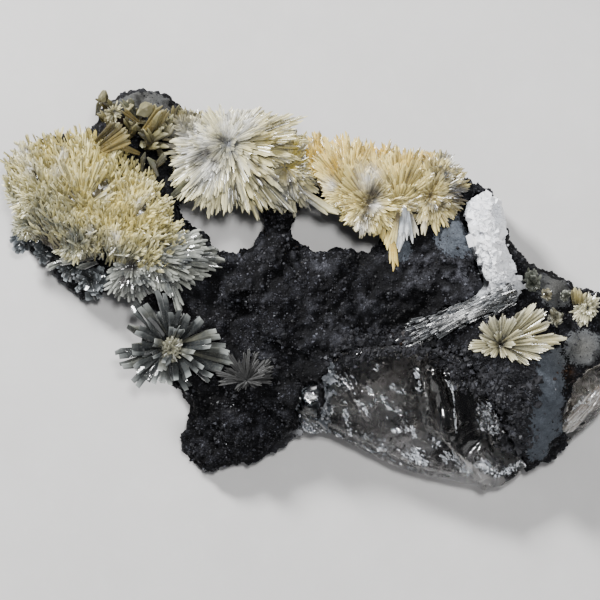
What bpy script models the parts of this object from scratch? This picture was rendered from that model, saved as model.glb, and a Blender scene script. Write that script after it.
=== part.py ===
"""Aragonite specimen: sprays of bladed crystals on a dark, pierced rock, with a white vein and smoky clear crystals.

It lies on its flat broken back. X runs to the right and Y up as the specimen is seen from above, and Z is up
from the surface that it lies on. Lengths below are in millimetres, and MM turns them into Blender's metres.
Every crystal piece stands on the rock with a fit gap, so no two solids touch.
"""

import math
import random

import bmesh
import bpy
from mathutils import Euler, Vector, noise
from mathutils.geometry import delaunay_2d_cdt

MM = 0.001
FIT_GAP = 0.35
ROCK_MESH = 2.8
TALL = 60.0

# The rock's outline seen from above, clockwise from its left end.
ROCK_OUTLINE = [
    (-56, 18), (-56, 24.4), (-53.6, 29), (-49, 30.4), (-44, 30.4), (-41.2, 33.4), (-39.4, 37), (-36.4, 38.4),
    (-32.2, 39.6), (-28.2, 38.2), (-25.4, 35), (-19, 32), (-9, 30.2), (1, 27.8), (13, 26.6), (25, 24.6),
    (30.6, 22.8), (33.4, 20.4), (37.2, 18), (39.2, 13.6), (40, 9.6), (42.8, 5.6), (46.8, 3.4), (50.8, 2.2),
    (54.8, -0.8), (59.2, -2.4), (61.8, -7), (61.8, -14), (60.4, -20.4), (56.8, -25.6), (52.8, -30),
    (48.8, -33.6), (44.8, -35.4), (38.8, -36.4), (30.8, -35.4), (22.8, -33.6), (14.8, -30.4), (6.8, -27),
    (-0.2, -27.4), (-4, -30), (-8.8, -33.2), (-14.8, -34.8), (-20, -36.4), (-23.2, -34.4), (-24.4, -30),
    (-22.8, -25.6), (-23.6, -21.2), (-27.2, -18), (-30.4, -12), (-31.2, -5), (-34.6, -1), (-39.4, 0.6),
    (-44.4, -0.8), (-48.6, 2.4), (-52, 7), (-57.4, 9.4), (-58, 13.4),
]
# The two gaps that go right through the rock, below the middle and the right spray.
LEFT_GAP = [
    (-27.6, 17.4), (-23.2, 20), (-18.2, 19.6), (-13.2, 18.4), (-8.6, 16.8), (-7.2, 12.4), (-10, 8.4),
    (-14, 6.6), (-18.4, 7.4), (-21.8, 10.8), (-25.2, 14.2),
]
RIGHT_GAP = [
    (-3.4, 11.2), (-3, 16), (0, 18.8), (5, 18.2), (10.4, 15.6), (16, 12.4), (16.4, 9), (13.4, 6.8),
    (6.8, 7.2), (-0.4, 7.2),
]
# Heights of the rock's face, as (x, y, height).
ROCK_HEIGHTS = [
    (-55, 24, 10), (-50, 13, 9), (-37, 24, 11), (-41, 9, 9), (-34, 37, 17), (-26, 33, 15), (-29, 20, 8),
    (-15, 27, 14), (0, 25, 14.5), (14, 22, 15), (25, 20, 16), (35, 16, 20), (29, 11, 20), (24, 2, 18.5),
    (17, -3, 12), (-3, 2, 18), (5, -7, 20), (-12, 0, 17), (-16, -12, 15), (-6, -17, 16.5), (-16, -27, 12),
    (-12, -33, 7), (-22, -34, 5), (-29, -10, 12), (37, 0, 20), (44, 1, 17), (51, 0, 18), (58, -6, 15),
    (55, -12, 18.5), (48, -19, 21), (45, -28, 18), (40, -14, 21), (50, -32, 9), (57, -22, 11), (-46, 5, 6),
    (-56, 13, 6), (-36, 1, 7), (20, -22, 14),
]
HEIGHT_REACH = 5.5
LUMP_SIZE, LUMP_HEIGHT = 7.0, 2.4
LEDGE_SIZE, LEDGE_HEIGHT = 4.2, 1.5
RIM_WIDTH, RIM_DROP = 5.0, 0.28
# The rock's flanks: share of the rim's height, and how far the wall stands out there.
FLANK = [(0.72, 0.9), (0.34, 0.5), (0.0, -1.7)]
FLANK_ROUGH = 0.9

SMOKY_FLOOR = 5.6
SMOKY_OUTLINE = [
    (6.6, -12.8), (12, -11.6), (18.5, -11.2), (25, -11.8), (30.4, -13), (34.6, -18.6), (38, -25), (40.8, -30.2),
    (44.6, -35.6), (42, -38), (39.4, -39.7), (35, -39.5), (29.6, -38.6), (23.6, -37.3), (18, -35.6),
    (11, -32), (4.4, -28.4), (3.2, -25), (4.2, -21), (3.4, -17.6),
]
SMOKY_RIM = [17.5, 19, 20.5, 20, 19.5, 19, 17, 13, 9, 8.5, 8.5, 8.5, 8.5, 8.5, 8.5, 9, 10.5, 13, 15.5, 16.5]
# Ridges, troughs and broad faces inside the smoky crystal's outline, as (x, y, height).
SMOKY_FACE = [
    (12, -16.5, 20.5), (20.5, -15, 23.2), (23, -20, 22.6), (25.4, -25.6, 20.4), (29, -31, 16.6), (34, -36.4, 11),
    (14.5, -22, 19), (19, -28, 16.5), (25, -33.6, 12.2), (8, -22.5, 16.8), (12, -28, 13.2), (27, -16.4, 17.6),
    (28.8, -22.4, 15.2), (32.6, -28.8, 12.4), (31.6, -19.8, 19), (35.2, -26, 17), (38.2, -33.6, 11.4),
]
SHARD_FLOOR = 4.6
SHARD_OUTLINE = [(-0.8, -27.8), (-2, -24), (-1.2, -20.4), (2, -18.4), (2.6, -21), (1.8, -25), (2.8, -28.2), (1, -29.2)]
SHARD_RIM = [9, 12.5, 15, 15.5, 15, 13.5, 9.5, 8]
SHARD_FACE = [(0.4, -23.4, 15.6)]
EDGE_FLOOR = 5.2
EDGE_OUTLINE = [
    (53.6, -18.4), (56.4, -16.2), (60.2, -14.6), (62, -16.6), (61.6, -21.4), (59.2, -25.2), (56, -28.2),
    (53.2, -30.8), (51.6, -28.4), (52.6, -23.4),
]
EDGE_RIM = [15, 15.5, 13.5, 11, 9, 8, 8, 7.5, 9.5, 13]
EDGE_FACE = [(56.6, -20, 16.6), (55, -25, 13)]

VEIN_FLOOR = 12.0
VEIN_OUTLINE = [
    (31.8, 17.6), (35, 19.4), (38.2, 17.6), (39.2, 13.4), (39, 9.4), (40.4, 5.8), (42.4, 2.2), (43, -0.8),
    (41.6, -2.8), (37.6, -4.2), (32.6, -6.2), (27, -8.8), (23.6, -10.2), (21.2, -9.4), (24, -6.6),
    (28.8, -4), (33.6, -1.6), (35.2, 1.4), (33.8, 5.2), (32.4, 10), (31.2, 14),
]
VEIN_RIM = [
    22, 21, 20, 20.5, 21, 20.5, 20, 19.5, 21, 22, 21.5, 20.5, 19, 18.5, 20, 21, 22, 22.5, 22.5, 22.5, 22.5,
]
VEIN_FACE = [
    (34.8, 15.6, 25.4), (35.8, 11.4, 26.6), (36.6, 6.6, 26.8), (38.4, 2.2, 25.8), (39.2, -0.8, 24.6),
    (34.8, -2.6, 24.4), (29.6, -5.4, 23), (25, -8, 21.4),
]

# A spray's lobes: centre x and y, the lump's radius, how far the blades reach east, north, west, south and up,
# and the number of cells round the lump, about half of which carry a blade.
LEFT_SPRAY_LOBES = [
    (-50.8, 22.8, 6.4, 9, 9, 9.8, 9.6, 9.4, 34),
    (-41.4, 24.8, 6.6, 9, 8.8, 9, 8, 10.6, 34),
    (-33.4, 17.6, 6.9, 9.6, 9.8, 9, 8, 11.6, 38),
    (-44.6, 14.4, 6.4, 9, 9, 9.8, 9.4, 9.4, 34),
    (-31.0, 6.8, 6.2, 14.6, 9, 9.4, 9.6, 9.6, 40),
]
MIDDLE_SPRAY_LOBES = [
    (-15.8, 28.2, 8.0, 12, 8.8, 11.6, 14.6, 12.5, 60),
    (-4.6, 23.2, 6.4, 6.8, 9.4, 10, 10.4, 10.5, 40),
]
RIGHT_SPRAY_LOBES = [
    (9.6, 23.6, 5.6, 8, 7.8, 6.8, 9.6, 10, 34),
    (17.6, 21.4, 6.2, 8, 9, 8, 8, 11.5, 38),
    (25.2, 20.4, 5.0, 6.2, 7.4, 8, 7, 9.8, 30),
    (19.0, 14.2, 3.4, 4.6, 5, 4.6, 10.2, 6.8, 22),
]
ROSETTE_LOBES = [(-27.8, -12.4, 4.0, 15, 12.4, 11.6, 10, 9.0, 56)]
SMALL_FAN_LOBES = [(39.2, -9.8, 3.0, 12.6, 6.2, 7.6, 4.8, 4.8, 28)]
EDGE_FAN_LOBES = [(55.8, -3.8, 2.0, 5.8, 4.6, 4.6, 4, 4.4, 20)]
FLAT_FAN_LOBES = [(-11.8, -18.2, 1.9, 7.4, 6.4, 7.6, 2.8, 2.8, 20)]
BROWN_BLADES_LOBES = [
    (-36.0, 36.4, 2.4, 5, 3.4, 4.8, 4.4, 6.2, 20),
    (-30.4, 34.0, 2.6, 4.2, 4.6, 6, 5.6, 7.4, 22),
]
LOWER_SPRAY_LOBES = [(-43.8, 1.2, 2.0, 5.2, 2.2, 5.2, 4.4, 3.2, 20)]
LEFT_EDGE_SPRAY_LOBES = [(-56.4, 10.6, 2.0, 4.4, 2.2, 4.4, 4.6, 3.2, 18)]

# Node, lobes, height of the rock shelf that it stands on, colour, seed.
SPRAYS = [
    ("left_spray", LEFT_SPRAY_LOBES, 10.6, (0.66, 0.58, 0.38), 11),
    ("middle_spray", MIDDLE_SPRAY_LOBES, 14.2, (0.66, 0.62, 0.48), 12),
    ("right_spray", RIGHT_SPRAY_LOBES, 14.8, (0.68, 0.58, 0.38), 13),
    ("glassy_rosette", ROSETTE_LOBES, 12.2, (0.42, 0.43, 0.40), 14),
    ("small_fan", SMALL_FAN_LOBES, 21.4, (0.64, 0.56, 0.33), 15),
    ("edge_fan", EDGE_FAN_LOBES, 15.4, (0.55, 0.50, 0.33), 16),
    ("flat_fan", FLAT_FAN_LOBES, 16.2, (0.30, 0.29, 0.25), 17),
    ("brown_blades", BROWN_BLADES_LOBES, 15.2, (0.46, 0.37, 0.20), 18),
    ("lower_spray", LOWER_SPRAY_LOBES, 5.6, (0.25, 0.28, 0.30), 19),
    ("left_edge_spray", LEFT_EDGE_SPRAY_LOBES, 5.6, (0.25, 0.27, 0.28), 20),
]
LOWEST_RISE = 0.04
BLADE_TIP_SHARE, BLADE_TIP_FLAT = 0.42, 0.3
SHELF_MARGIN = 3.3


def clear_scene():
    for old in list(bpy.data.objects):
        bpy.data.objects.remove(old)


def finish_material(name, colour, roughness, transmission=0.0):
    made = bpy.data.materials.new(name)
    made.use_nodes = True
    shader = made.node_tree.nodes["Principled BSDF"]
    shader.inputs["Base Color"].default_value = (*colour, 1)
    shader.inputs["Roughness"].default_value = roughness
    shader.inputs["Metallic"].default_value = 0.0
    shader.inputs["Transmission Weight"].default_value = transmission
    return made


def object_of(name, mesh, material=None):
    made = bpy.data.objects.new(name, mesh)
    bpy.context.scene.collection.objects.link(made)
    if material:
        mesh.materials.append(material)
    return made


def helper_of(name, mesh):
    """A cutter or a piece to be joined, which isn't a node itself."""
    made = object_of(name, mesh)
    made.hide_render = True
    made.display_type = "WIRE"
    return made


def boolean(target, other, operation):
    modifier = target.modifiers.new(f"{operation.lower()} {other.name}", "BOOLEAN")
    modifier.operation = operation
    modifier.solver = "EXACT"
    modifier.object = other


def counter_clockwise(points):
    area = sum(a[0] * b[1] - b[0] * a[1] for a, b in zip(points, points[1:] + points[:1]))
    return points if area > 0 else points[::-1]


def rounded_loop(points, spacing):
    """Points at about the spacing along a smooth closed curve through the points, counter-clockwise."""
    points = [Vector(p) for p in counter_clockwise(list(points))]
    count = len(points)
    loop = []
    for i in range(count):
        before, start, end, after = (points[(i + k) % count] for k in (-1, 0, 1, 2))
        steps = max(1, round((end - start).length / spacing))
        for step in range(steps):
            t = step / steps
            loop.append(
                0.5
                * (
                    2 * start
                    + (end - before) * t
                    + (2 * before - 5 * start + 4 * end - after) * t**2
                    + (3 * start - before - 3 * end + after) * t**3
                )
            )
    return loop


def inside(point, loop):
    x, y = point
    crossings = 0
    for a, b in zip(loop, loop[1:] + loop[:1]):
        if (a[1] > y) != (b[1] > y) and x < (b[0] - a[0]) * (y - a[1]) / (b[1] - a[1]) + a[0]:
            crossings += 1
    return crossings % 2 == 1


def distance_to(point, loop):
    nearest = TALL * TALL
    for a, b in zip(loop, loop[1:] + loop[:1]):
        along = b - a
        t = max(0.0, min(1.0, (point - a).dot(along) / max(along.length_squared, 1e-9)))
        nearest = min(nearest, (point - a - along * t).length)
    return nearest


def moved_out(loop, distances):
    """The loop with each point moved along its outward normal."""
    count = len(loop)
    moved = []
    for i, point in enumerate(loop):
        along = loop[(i + 1) % count] - loop[i - 1]
        outward = Vector((along.y, -along.x)).normalized()
        moved.append(point + outward * distances[i])
    return moved


def triangles_between(loops, points, outer, holes):
    """Triangles over the loops' and the free points, inside the outer loop and outside the holes."""
    flat = [p for loop in loops for p in loop] + list(points)
    edges = []
    start = 0
    for loop in loops:
        edges += [(start + i, start + (i + 1) % len(loop)) for i in range(len(loop))]
        start += len(loop)
    found = delaunay_2d_cdt([Vector(p) for p in flat], edges, [], 0, 1e-6)
    source = [ids[0] for ids in found[3]]
    kept = []
    for face in found[2]:
        corners = [found[0][i] for i in face]
        middle = sum(corners, Vector((0, 0))) / 3
        if inside(middle, outer) and not any(inside(middle, hole) for hole in holes):
            kept.append([source[i] for i in face])
    return kept


def closed_mesh(name, points, faces):
    """A mesh in metres whose normals point out."""
    shape = bmesh.new()
    corners = [shape.verts.new(Vector(p) * MM) for p in points]
    for face in faces:
        shape.faces.new([corners[i] for i in face])
    bmesh.ops.recalc_face_normals(shape, faces=shape.faces)
    mesh = bpy.data.meshes.new(name)
    shape.to_mesh(mesh)
    shape.free()
    return mesh


def all_lobes():
    return [(lobe, shelf) for _, lobes, shelf, *_ in SPRAYS for lobe in lobes]


def side_reach(lobe, direction):
    """How far a lobe's blades reach along a level direction."""
    east, north, west, south = lobe[3:7]
    flat = Vector(direction[:2])
    if flat.length < 1e-6:
        return (east + north + west + south) / 4
    c, s = flat.normalized()
    return (east if c > 0 else west) * c * c + (north if s > 0 else south) * s * s


def rock_height(point, rim_distance):
    """The height of the rock's face: broad mounds, lumps and ledges, lower at the rim, and flat under each spray."""
    x, y = point
    weights = [math.exp(-((x - cx) ** 2 + (y - cy) ** 2) / (2 * HEIGHT_REACH**2)) for cx, cy, _ in ROCK_HEIGHTS]
    height = sum(w * h for w, (_, _, h) in zip(weights, ROCK_HEIGHTS)) / max(sum(weights), 1e-9)
    height += LUMP_HEIGHT * noise.noise(Vector((x, y, 3.1)) / LUMP_SIZE)
    height += LEDGE_HEIGHT * (1 - 2 * abs(noise.noise(Vector((x, y, 8.7)) / LEDGE_SIZE)))
    height *= 1 - RIM_DROP * max(0.0, 1 - rim_distance / RIM_WIDTH) ** 2
    for lobe, shelf in all_lobes():
        from_lobe = Vector((x - lobe[0], y - lobe[1]))
        if from_lobe.length < lobe[2] + 1.5:
            return shelf
        if from_lobe.length < side_reach(lobe, from_lobe) + SHELF_MARGIN:
            height = min(height, shelf)
    return height


def rock_mesh(name):
    """The rock: a rough face over its outline, ledged flanks round the rim and the gaps, and a flat back."""
    roll = random.Random(4)
    outer = rounded_loop(ROCK_OUTLINE, ROCK_MESH)
    gaps = [rounded_loop(LEFT_GAP, ROCK_MESH), rounded_loop(RIGHT_GAP, ROCK_MESH)]
    loops = [outer, *gaps]
    rim = [p for loop in loops for p in loop]
    grid = []
    rows = int(90 / ROCK_MESH)
    for row in range(rows):
        for column in range(int(130 / ROCK_MESH)):
            x = -64 + ROCK_MESH * (column + 0.5 * (row % 2)) + roll.uniform(-0.5, 0.5)
            y = -42 + ROCK_MESH * row + roll.uniform(-0.5, 0.5)
            point = Vector((x, y))
            if not inside(point, outer) or any(inside(point, gap) for gap in gaps):
                continue
            if min(distance_to(point, loop) for loop in loops) > 0.55 * ROCK_MESH:
                grid.append(point)
    face_points = rim + grid
    faces = triangles_between(loops, grid, outer, gaps)
    points = []
    for i, point in enumerate(face_points):
        away = 0.0 if i < len(rim) else min(distance_to(point, loop) for loop in loops)
        points.append((point.x, point.y, rock_height(point, away)))
    heights = [p[2] for p in points[: len(rim)]]
    above = 0
    for level, stand in FLANK:
        below = len(points)
        start = 0
        for number, loop in enumerate(loops):
            side = 1 if number == 0 else -1
            rough = [
                side * (stand + FLANK_ROUGH * noise.noise(Vector((p.x, p.y, 20 * level + 1)) / 4.0)) for p in loop
            ]
            for i, p in enumerate(moved_out(loop, rough)):
                points.append((p.x, p.y, heights[start + i] * level))
                after = (i + 1) % len(loop)
                faces.append(
                    [above + start + i, above + start + after, below + start + after, below + start + i]
                )
            start += len(loop)
        above = below
    foot_loops = []
    start = 0
    for loop in loops:
        foot_loops.append([Vector(p[:2]) for p in points[above + start : above + start + len(loop)]])
        start += len(loop)
    back = triangles_between(foot_loops, [], foot_loops[0], foot_loops[1:])
    faces += [[above + i for i in face] for face in back]
    return closed_mesh(name, points, faces)


def faced_mesh(name, outline, rim, inner, floor):
    """A crystal or a vein: straight sides on an outline, and a face of flat facets through the rim and inner points."""
    order = list(zip(outline, rim))
    if counter_clockwise(list(outline)) != list(outline):
        order.reverse()
    loop = [Vector(p) for p, _ in order]
    tops = [(p.x, p.y, h) for p, (_, h) in zip(loop, order)] + list(inner)
    faces = triangles_between([loop], [Vector(p[:2]) for p in inner], loop, [])
    below = len(tops)
    points = tops + [(p.x, p.y, floor) for p in loop]
    count = len(loop)
    for i in range(count):
        faces.append([i, (i + 1) % count, below + (i + 1) % count, below + i])
    faces.append([below + i for i in range(count)])
    return closed_mesh(name, points, faces)


def pocket(name, outline, floor):
    """A cutter for the rock: a crystal's outline with the fit gap round it and under it."""
    loop = [Vector(p) for p in counter_clockwise(list(outline))]
    wide = moved_out(loop, [FIT_GAP * 1.5] * len(loop))
    count = len(wide)
    points = [(p.x, p.y, floor - FIT_GAP) for p in wide] + [(p.x, p.y, TALL) for p in wide]
    faces = [[i, (i + 1) % count, count + (i + 1) % count, count + i] for i in range(count)]
    faces += [list(range(count)), [count + i for i in range(count)]]
    return helper_of(name, closed_mesh(name, points, faces))


def cells_of_ball(count, roll):
    """Many-sided cells that cover a ball of radius 1: the faces round each of a number of scattered points."""
    ball = bmesh.new()
    turn = Euler([roll.uniform(0, math.tau) for _ in range(3)]).to_matrix()
    for i in range(count):
        rise = 1 - 2 * (i + 0.5) / count
        around = i * math.pi * (3 - math.sqrt(5))
        level = math.sqrt(1 - rise * rise)
        point = Vector((level * math.cos(around), level * math.sin(around), rise))
        point += Vector([roll.uniform(-0.12, 0.12) for _ in range(3)])
        ball.verts.new((turn @ point).normalized())
    bmesh.ops.convex_hull(ball, input=ball.verts[:], use_existing_faces=False)
    ball.faces.index_update()
    middles = [face.normal.copy() for face in ball.faces]
    for face, middle in zip(ball.faces, middles):
        if middle.dot(face.calc_center_median()) < 0:
            middle.negate()
    cells = []
    for corner in ball.verts:
        axis = corner.co.normalized()
        first = axis.orthogonal().normalized()
        second = axis.cross(first)
        around = [face.index for face in corner.link_faces]
        around.sort(key=lambda k: math.atan2(middles[k].dot(second), middles[k].dot(first)))
        cells.append(around)
    ball.free()
    return middles, cells


def lobe_mesh(name, lobe, shelf, seed):
    """A lump with a flat foot, and a blade drawn out of each of its upper cells, narrowing to a chisel edge."""
    roll = random.Random(seed)
    x, y, lump, *_, top, count = lobe
    middles, cells = cells_of_ball(count, roll)
    shape = bmesh.new()
    corners = [shape.verts.new(m * lump) for m in middles]
    faces = [shape.faces.new([corners[i] for i in cell]) for cell in cells]
    bmesh.ops.recalc_face_normals(shape, faces=faces)
    for face in faces:
        centre = face.calc_center_median()
        way = centre.normalized()
        if way.z < LOWEST_RISE:
            continue
        level = math.sqrt(max(0.0, 1 - way.z**2))
        reach = math.hypot(level * side_reach(lobe, way), way.z * top) * roll.uniform(0.86, 1.0)
        if reach < lump * 1.08:
            continue
        flat_way = Vector([roll.uniform(-1, 1) for _ in range(3)]).cross(way).normalized()
        drawn = bmesh.ops.extrude_discrete_faces(shape, faces=[face])["faces"][0]
        for corner in drawn.verts:
            off = corner.co - centre
            off -= way * off.dot(way)
            off -= flat_way * off.dot(flat_way) * (1 - BLADE_TIP_FLAT)
            corner.co = way * reach + off * BLADE_TIP_SHARE
    foot = bmesh.ops.bisect_plane(
        shape,
        geom=shape.verts[:] + shape.edges[:] + shape.faces[:],
        plane_co=(0, 0, FIT_GAP),
        plane_no=(0, 0, -1),
        clear_outer=True,
    )
    cut = [item for item in foot["geom_cut"] if isinstance(item, bmesh.types.BMEdge)]
    bmesh.ops.holes_fill(shape, edges=cut, sides=0)
    bmesh.ops.recalc_face_normals(shape, faces=shape.faces[:])
    bmesh.ops.scale(shape, vec=Vector((MM, MM, MM)), verts=shape.verts)
    bmesh.ops.translate(shape, vec=Vector((x, y, shelf)) * MM, verts=shape.verts)
    mesh = bpy.data.meshes.new(name)
    shape.to_mesh(mesh)
    shape.free()
    return mesh


def one_body(mesh):
    """Keeps the largest connected body of a mesh, so no sealed hollow or loose chip is left inside a spray."""
    shape = bmesh.new()
    shape.from_mesh(mesh)
    left = set(shape.verts)
    bodies = []
    while left:
        body, edge = set(), [left.pop()]
        while edge:
            corner = edge.pop()
            body.add(corner)
            for link in corner.link_edges:
                other = link.other_vert(corner)
                if other in left:
                    left.discard(other)
                    edge.append(other)
        bodies.append(body)
    bodies.sort(key=len, reverse=True)
    for body in bodies[1:]:
        bmesh.ops.delete(shape, geom=list(body), context="VERTS")
    shape.to_mesh(mesh)
    shape.free()


def make_spray(node, lobes, shelf, colour, seed):
    """A spray: its lobes grown into one body, on a flat foot just above the rock's shelf."""
    grown = helper_of(f"{node}_grown", lobe_mesh(f"{node}_grown", lobes[0], shelf, seed))
    helpers = [grown]
    for number, lobe in enumerate(lobes[1:], 2):
        name = f"{node}_lobe_{number}"
        helpers.append(helper_of(name, lobe_mesh(name, lobe, shelf, seed + 100 * number)))
        boolean(grown, helpers[-1], "UNION")
    graph = bpy.context.evaluated_depsgraph_get()
    mesh = bpy.data.meshes.new_from_object(grown.evaluated_get(graph))
    one_body(mesh)
    mesh.materials.clear()
    object_of(node, mesh, finish_material(node, colour, 0.45))
    for helper in helpers:
        bpy.data.objects.remove(helper)


def make_rock():
    rock = object_of("rock", rock_mesh("rock"), finish_material("rock", (0.035, 0.036, 0.042), 0.8))
    pockets = [
        ("smoky_pocket", SMOKY_OUTLINE, SMOKY_FLOOR),
        ("shard_pocket", SHARD_OUTLINE, SHARD_FLOOR),
        ("edge_pocket", EDGE_OUTLINE, EDGE_FLOOR),
        ("vein_pocket", VEIN_OUTLINE, VEIN_FLOOR),
    ]
    for name, outline, floor in pockets:
        boolean(rock, pocket(name, outline, floor), "DIFFERENCE")


def make_smoky_crystal():
    mesh = faced_mesh("smoky_crystal", SMOKY_OUTLINE, SMOKY_RIM, SMOKY_FACE, SMOKY_FLOOR)
    object_of("smoky_crystal", mesh, finish_material("smoky", (0.2, 0.18, 0.16), 0.08, 0.9))


def make_clear_pieces():
    shard = faced_mesh("clear_shard", SHARD_OUTLINE, SHARD_RIM, SHARD_FACE, SHARD_FLOOR)
    object_of("clear_shard", shard, finish_material("clear shard", (0.4, 0.42, 0.45), 0.1, 0.9))
    edge = faced_mesh("edge_crystal", EDGE_OUTLINE, EDGE_RIM, EDGE_FACE, EDGE_FLOOR)
    object_of("edge_crystal", edge, finish_material("edge crystal", (0.42, 0.38, 0.3), 0.12, 0.9))


def make_white_vein():
    mesh = faced_mesh("white_vein", VEIN_OUTLINE, VEIN_RIM, VEIN_FACE, VEIN_FLOOR)
    object_of("white_vein", mesh, finish_material("white vein", (0.86, 0.86, 0.88), 0.5))


clear_scene()
make_rock()
make_smoky_crystal()
make_clear_pieces()
make_white_vein()
for spray in SPRAYS:
    make_spray(*spray)
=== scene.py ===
import math

import bmesh
import bpy
import numpy as np
from mathutils import Matrix, Vector, noise
from mathutils.bvhtree import BVHTree


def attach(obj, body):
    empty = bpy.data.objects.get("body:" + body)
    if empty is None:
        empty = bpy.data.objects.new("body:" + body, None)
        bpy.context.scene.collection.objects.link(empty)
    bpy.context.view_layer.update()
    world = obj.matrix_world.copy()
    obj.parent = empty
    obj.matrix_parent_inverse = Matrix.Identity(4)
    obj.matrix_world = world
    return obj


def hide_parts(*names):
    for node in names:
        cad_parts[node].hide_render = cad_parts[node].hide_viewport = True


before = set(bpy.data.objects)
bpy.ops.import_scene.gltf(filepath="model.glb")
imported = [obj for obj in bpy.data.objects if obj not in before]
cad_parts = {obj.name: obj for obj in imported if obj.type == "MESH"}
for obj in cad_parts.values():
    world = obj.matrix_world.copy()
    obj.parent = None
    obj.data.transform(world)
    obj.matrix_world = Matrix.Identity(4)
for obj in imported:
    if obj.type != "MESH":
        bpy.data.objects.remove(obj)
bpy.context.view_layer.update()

# The rock: a dark, granular limestone, stained nearly black, with slate-blue and rusty patches. It is broken
# flat at the back and rough everywhere else, and two gaps go right through it. Every crystal grew on it.
MM = 0.001
FIFTHS = 5
MIDDLE_ACROSS, MIDDLE_DOWN = 306, 290
PLACE_FALL = 1.2
ROCK_SQUARE = 0.52


def spot(across, down):
    """A place on the specimen's face, in millimetres, from fifths of a millimetre counted across and down."""
    return (across - MIDDLE_ACROSS) / FIFTHS, (MIDDLE_DOWN - down) / FIFTHS


def nearness(points, places):
    """For each point, how near it is to the nearest of some round places: 1 in the middle, 0 well outside."""
    near = np.zeros(len(points))
    for across, down, reach in places:
        x, y = spot(across, down)
        away = ((points[:, 0] - x) ** 2 + (points[:, 1] - y) ** 2) / (reach / FIFTHS) ** 2
        near = np.maximum(near, np.exp(-away * PLACE_FALL))
    return near


def with_values(mesh, **values):
    """Stores a value for each corner of the mesh, for its material to read."""
    for name, numbers in values.items():
        layer = mesh.attributes.new(name, "FLOAT", "POINT")
        layer.data.foreach_set("value", np.asarray(numbers, dtype=np.float32).ravel())


def piece(name, mesh, material, smooth=False):
    """Puts a mesh in the scene as one visible piece of the specimen."""
    made = bpy.data.objects.new(name, mesh)
    bpy.context.scene.collection.objects.link(made)
    mesh.materials.clear()
    mesh.materials.append(material)
    mesh.polygons.foreach_set("use_smooth", np.full(len(mesh.polygons), smooth))
    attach(made, "root")
    return made


def read_vectors(items, what):
    """One vector for each corner or face of a mesh, as rows of an array."""
    flat = np.empty(len(items) * 3, dtype=np.float32)
    items.foreach_get(what, flat)
    return flat.reshape(-1, 3)


def shaped(mesh, points):
    """Moves a mesh's corners to these points, in millimetres."""
    mesh.vertices.foreach_set("co", (points * MM).ravel())
    mesh.update()


def evenly_meshed(mesh, size, name):
    """A copy of a mesh in even squares of one size, in millimetres."""
    holder = bpy.data.objects.new(name, mesh.copy())
    bpy.context.scene.collection.objects.link(holder)
    remesh = holder.modifiers.new("even", "REMESH")
    remesh.mode = "VOXEL"
    remesh.voxel_size = size * MM
    graph = bpy.context.evaluated_depsgraph_get()
    made = bpy.data.meshes.new_from_object(holder.evaluated_get(graph))
    bpy.data.objects.remove(holder)
    return made


def new_material(name):
    """A new material, its tree of nodes and its shader."""
    made = bpy.data.materials.new(name)
    made.use_nodes = True
    return made, made.node_tree, made.node_tree.nodes["Principled BSDF"]


def feed(tree, value, socket):
    """Links a socket's value on, or sets a constant."""
    if isinstance(value, bpy.types.NodeSocket):
        tree.links.new(value, socket)
    else:
        socket.default_value = (*value, 1) if isinstance(value, tuple) and len(value) == 3 else value


def put(tree, kind, **sockets):
    """Adds a shader node with these values or links at its inputs."""
    made = tree.nodes.new(kind)
    for name, value in sockets.items():
        feed(tree, value, made.inputs[name])
    return made


def stored(tree, name):
    """A value that the mesh stores at its corners."""
    made = tree.nodes.new("ShaderNodeAttribute")
    made.attribute_name = name
    return made.outputs["Fac"]


def cloudy(tree, scale, detail, roughness=0.5):
    """Cloudy noise that runs through the body of a mineral."""
    place = put(tree, "ShaderNodeTexCoord").outputs["Object"]
    made = put(tree, "ShaderNodeTexNoise", Vector=place, Scale=scale, Detail=detail, Roughness=roughness)
    return made.outputs[0]


def mixed(tree, share, first, second):
    """Goes from a first colour to a second one as the share goes from 0 to 1."""
    made = tree.nodes.new("ShaderNodeMix")
    made.data_type = "RGBA"
    made.clamp_factor = True
    for value, socket in ((share, made.inputs[0]), (first, made.inputs[6]), (second, made.inputs[7])):
        feed(tree, value, socket)
    return made.outputs[2]


def maths(tree, operation, first, second):
    """Adds or multiplies two values."""
    made = tree.nodes.new("ShaderNodeMath")
    made.operation = operation
    feed(tree, first, made.inputs[0])
    feed(tree, second, made.inputs[1])
    return made.outputs[0]


def laid_over(tree, mask, strength, colour, other):
    """Lays another colour over a colour, as strong as a mask and a number say."""
    return mixed(tree, maths(tree, "MULTIPLY", mask, strength), colour, other)


def spread(tree, value, low, high):
    """Stretches the range from low to high over 0 to 1."""
    made = tree.nodes.new("ShaderNodeMapRange")
    feed(tree, value, made.inputs[0])
    feed(tree, low, made.inputs[1])
    feed(tree, high, made.inputs[2])
    return made.outputs[0]


def bumped(tree, height, strength, depth):
    """Fine relief from a height. Its depth is in millimetres."""
    return put(tree, "ShaderNodeBump", Height=height, Strength=strength, Distance=depth * MM).outputs[0]


def effect(name, colours, numbers, gives):
    """An effect that several materials share: a shader node group, what it is given and what it gives."""
    group = bpy.data.node_groups.new(name, "ShaderNodeTree")
    for labels, kind in ((colours, "NodeSocketColor"), (numbers, "NodeSocketFloat")):
        for label in labels:
            group.interface.new_socket(label, in_out="INPUT", socket_type=kind)
    group.interface.new_socket("Colour", in_out="OUTPUT", socket_type="NodeSocketColor")
    for label in gives:
        group.interface.new_socket(label, in_out="OUTPUT", socket_type="NodeSocketFloat")
    return group, group.nodes.new("NodeGroupInput").outputs, group.nodes.new("NodeGroupOutput").inputs


def effect_in(tree, group, **settings):
    """Places a shared effect in a material, with that material's own colours and numbers."""
    made = tree.nodes.new("ShaderNodeGroup")
    made.node_tree = group
    for label, value in settings.items():
        feed(tree, value, made.inputs[label])
    return made.outputs


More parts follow.
